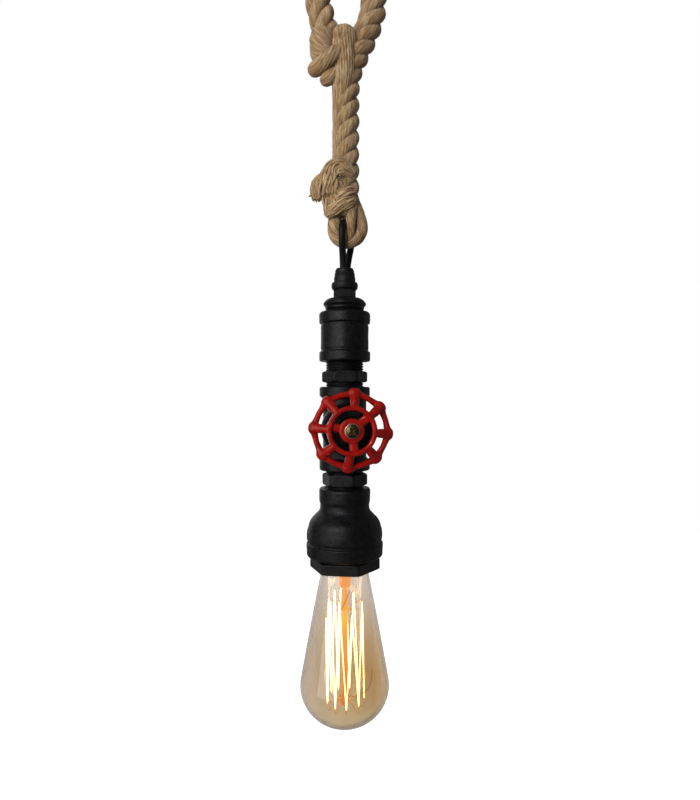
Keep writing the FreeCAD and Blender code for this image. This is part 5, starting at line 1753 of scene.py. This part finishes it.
@dataclass
class Bulb:
    """The filament bulb: glass, hooks, lead-in wires and squirrel-cage filament.

    The filament and the wires are given from the bulb's axis, with true heights: the filament's
    turns one after another, and each hook from the stem outwards.
    """

    axis: Point = (0.0, 4.0, 0.0)
    cap_rim: float = -520.4
    base: float = -637.4
    radius: float = 32.6
    depth: float = 28.7
    wall: float = 0.8
    neck: float = 13.2
    flare: Span = (0.8, -0.6)
    flare_reach: float = 3.64
    collar: tuple[float, float] = (18.0, -529.5)
    shoulder_deg: float = 9.2
    bulge: float = 0.2
    filament: tuple[Point, ...] = (
        (-1.6, 13.8, -541), (-3.4, 13.4, -620), (-6.4, 12.2, -543), (-9, 10.6, -620), (-11.2, 8.4, -548),
        (-12.8, 5, -620), (-13.6, 1.5, -560), (-13, -4, -620.5), (-11, -8.3, -545), (-8, -11.4, -621),
        (-5.2, -12.8, -544), (-0.3, -14, -621.2), (3.8, -13.3, -554), (9, -10.8, -620.5),
        (11.8, -7.6, -546), (14, -2.5, -619), (13.8, 3, -558), (11.5, 8, -620), (8, 11.4, -545),
        (5, 13, -619), (2.6, 13.6, -541),
    )
    hooks_below: tuple[tuple[Point, ...], ...] = (
        ((-2, 2, -618), (-4, 8, -621), (-3.6, 13.6, -624), (-3.4, 13.2, -619.4)),
        ((-2.4, 1.6, -618), (-6, 7, -622), (-9.4, 10.8, -626), (-8.8, 10.4, -619.4)),
        ((-2.6, 0.6, -618), (-8, 3, -621), (-13, 5.2, -626), (-12.4, 4.8, -619.4)),
        ((-2.6, -0.6, -618), (-8, -2, -621), (-13.2, -4.2, -629), (-12.6, -3.8, -619.8)),
        ((-2, -2, -618), (-5, -6, -622), (-8.4, -12, -628), (-7.8, -11, -620.4)),
        ((0, -2.8, -618), (0, -8, -621), (-0.3, -14.6, -627), (-0.3, -13.6, -620.5)),
        ((1.6, -2.2, -618), (5, -6, -621), (9.6, -11.6, -628), (8.8, -10.4, -619.8)),
        ((2.6, -0.8, -618), (9, -2, -622), (15, -2.8, -628), (13.6, -2.3, -618.4)),
        ((2.4, 1.4, -618), (7, 5, -621), (12, 8.4, -625), (11.2, 7.8, -619.4)),
        ((1.4, 2.2, -618), (3, 8, -620), (5.4, 13.6, -624), (4.8, 12.8, -618.4)),
    )
    hooks_above: tuple[tuple[Point, ...], ...] = (
        ((-2, 2, -553.6), (-4, 8, -548), (-6.6, 12.6, -540.5), (-6.3, 12, -543.6)),
        ((-2.4, 1.4, -553.6), (-6, 6, -551), (-11.6, 8.8, -545), (-11, 8.2, -548.6)),
        ((-2.6, 0.4, -553.6), (-8, 1, -556), (-14.2, 1.6, -557.5), (-13.4, 1.4, -560.6)),
        ((-2.4, -1.4, -553.6), (-6, -4, -549), (-11.4, -8.8, -542), (-10.9, -8.1, -545.6)),
        ((-1.4, -2.4, -553.6), (-3, -7, -548), (-5.4, -13.4, -541), (-5.1, -12.6, -544.6)),
        ((1.4, -2.4, -553.6), (3, -7, -551), (4, -14, -551), (3.8, -13.1, -554.6)),
        ((2.4, -1.4, -553.6), (7, -4, -548), (12.4, -8, -543), (11.7, -7.4, -546.6)),
        ((2.6, 0.6, -553.6), (8, 2, -555), (14.6, 3.2, -555), (13.6, 2.9, -558.6)),
        ((1.8, 2, -553.6), (4, 7, -549), (8.4, 12, -542), (7.9, 11.2, -545.6)),
    )
    leads: tuple[tuple[Point, ...], ...] = (
        ((-3, 0.5, -539.5), (-3.4, 6, -539.5), (-2.4, 12, -538.5), (-1.6, 13.7, -541.4)),
        ((3, 0.5, -539.5), (3.4, 6, -539.5), (3, 12, -538.5), (2.6, 13.5, -541.4)),
        ((3.4, -3.6, -539), (0.6, -4, -546), (-2.6, -4, -552.5)),
        ((2.4, -2, -617), (8, -6, -615.5), (15, -7, -612), (19.4, -5, -606), (19.8, -2, -597)),
    )
    hook_radius: float = 0.22
    wire_radius: float = 0.3
    filament_radius: float = 0.33

    def profile(self, inset: float) -> np.ndarray:
        """The side of the envelope from the cap's rim to the base.

        It is a flare, a nearly straight side that bulges a little, and an ellipse past its
        quarter, each as a Bezier curve of degree 3.

        Args:
            inset: How far inside the outer surface.

        Returns:
            Rows of (radius, height).
        """
        radius = self.radius - inset
        depth = self.depth - inset
        centre = self.base + self.depth
        angle = math.radians(self.shoulder_deg)
        neck = np.array([self.neck - inset, self.cap_rim])
        collar = np.array([self.collar[0] - inset, self.collar[1]])
        meet = np.array([radius * math.cos(angle), centre + depth * math.sin(angle)])
        chord = meet - collar
        control = (collar + meet) / 2 + 2 * self.bulge * unit(np.array([-chord[1], chord[0]]))
        down = unit(control - collar)
        reach = 4 / 3 * math.tan((math.pi / 2 + angle) / 4)
        fall = np.array([radius * math.sin(angle), -depth * math.cos(angle)])
        base = np.array([0.0, centre - depth])
        flare = self.bezier((neck, neck + np.array(self.flare) * self.flare_reach,
                             collar - down * self.flare_reach, collar), 14)
        side = self.bezier((collar, collar + 2 / 3 * (control - collar), meet + 2 / 3 * (control - meet),
                            meet), 40)
        end = self.bezier((meet, meet + fall * reach, base + np.array([radius, 0.0]) * reach, base), 60)
        end[-1, 0] = AXIS_GAP
        return np.concatenate([flare, side[1:], end[1:]])

    def bezier(self, poles: Sequence[np.ndarray], count: int) -> np.ndarray:
        """Points of a Bezier curve of degree 3.

        Args:
            poles: Its four poles.
            count: How many points.

        Returns:
            Rows of (radius, height).
        """
        t = np.linspace(0, 1, count)[:, None]
        a, b, c, d = poles
        return (1 - t) ** 3 * a + 3 * t * (1 - t) ** 2 * b + 3 * t ** 2 * (1 - t) * c + t ** 3 * d

    def build(self) -> None:
        """Makes the glass, the filament, its hooks and the lead-in wires."""
        outer = self.profile(0.0)[::-1]
        inner = self.profile(self.wall)
        glass = join_skins("glass_envelope", [Skin(spun(np.concatenate([outer, inner]), 144, self.axis))])
        settle(glass, Body.BULB, BULB_GLASS, "amber_glass", "bulb_glass")
        legs = tuple(zip(self.filament, self.filament[1:]))
        for name, routes, radius, finish, slot, node in (
            ("squirrel_cage", legs, self.filament_radius, FILAMENT_GLOW, "glowing_filament", "bulb_filament"),
            ("wire_hooks", self.hooks_below + self.hooks_above, self.hook_radius, HOOK_PAINTED_GLOW, "lead_wire",
             "bulb_supports"),
            ("lead_in_wires", self.leads, self.wire_radius, LEAD_PAINTED_GLOW, "lead_wire", "bulb_lead_wires"),
        ):
            wires = [self.wire(points, radius) for points in routes]
            settle(join_skins(name, wires), Body.BULB, finish, slot, node)

    def wire(self, points: Sequence[Point], radius: float) -> Skin:
        """A round wire with ball ends along points from the bulb's axis.

        Args:
            points: Two ends of a straight wire, or the poles of a bent one.
            radius: The wire's radius.

        Returns:
            The wire's surface.
        """
        line = even(np.array(points, float) if len(points) == 2 else route_line(points, 8), 1.5)
        s = along(line)
        ends = np.sqrt(np.clip(np.minimum(s, s[-1] - s) / radius, 0.05, 1))
        return Skin(tube_grid(line + np.array(self.axis), np.array([0.3, 1.0, 0.1]), radius * ends, 10))


def main() -> None:
    """Builds the lamp's looks in order."""
    logging.basicConfig(level=logging.INFO, format="%(name)s %(message)s")
    Studio().build()
    Fuzz().build(LaidRope().build() + Splices().build())
    CableLoop().build()
    PipeFittings().build()
    Handwheel().build()
    Bulb().build()
    carry_over()


if __name__ == "__main__":
    main()
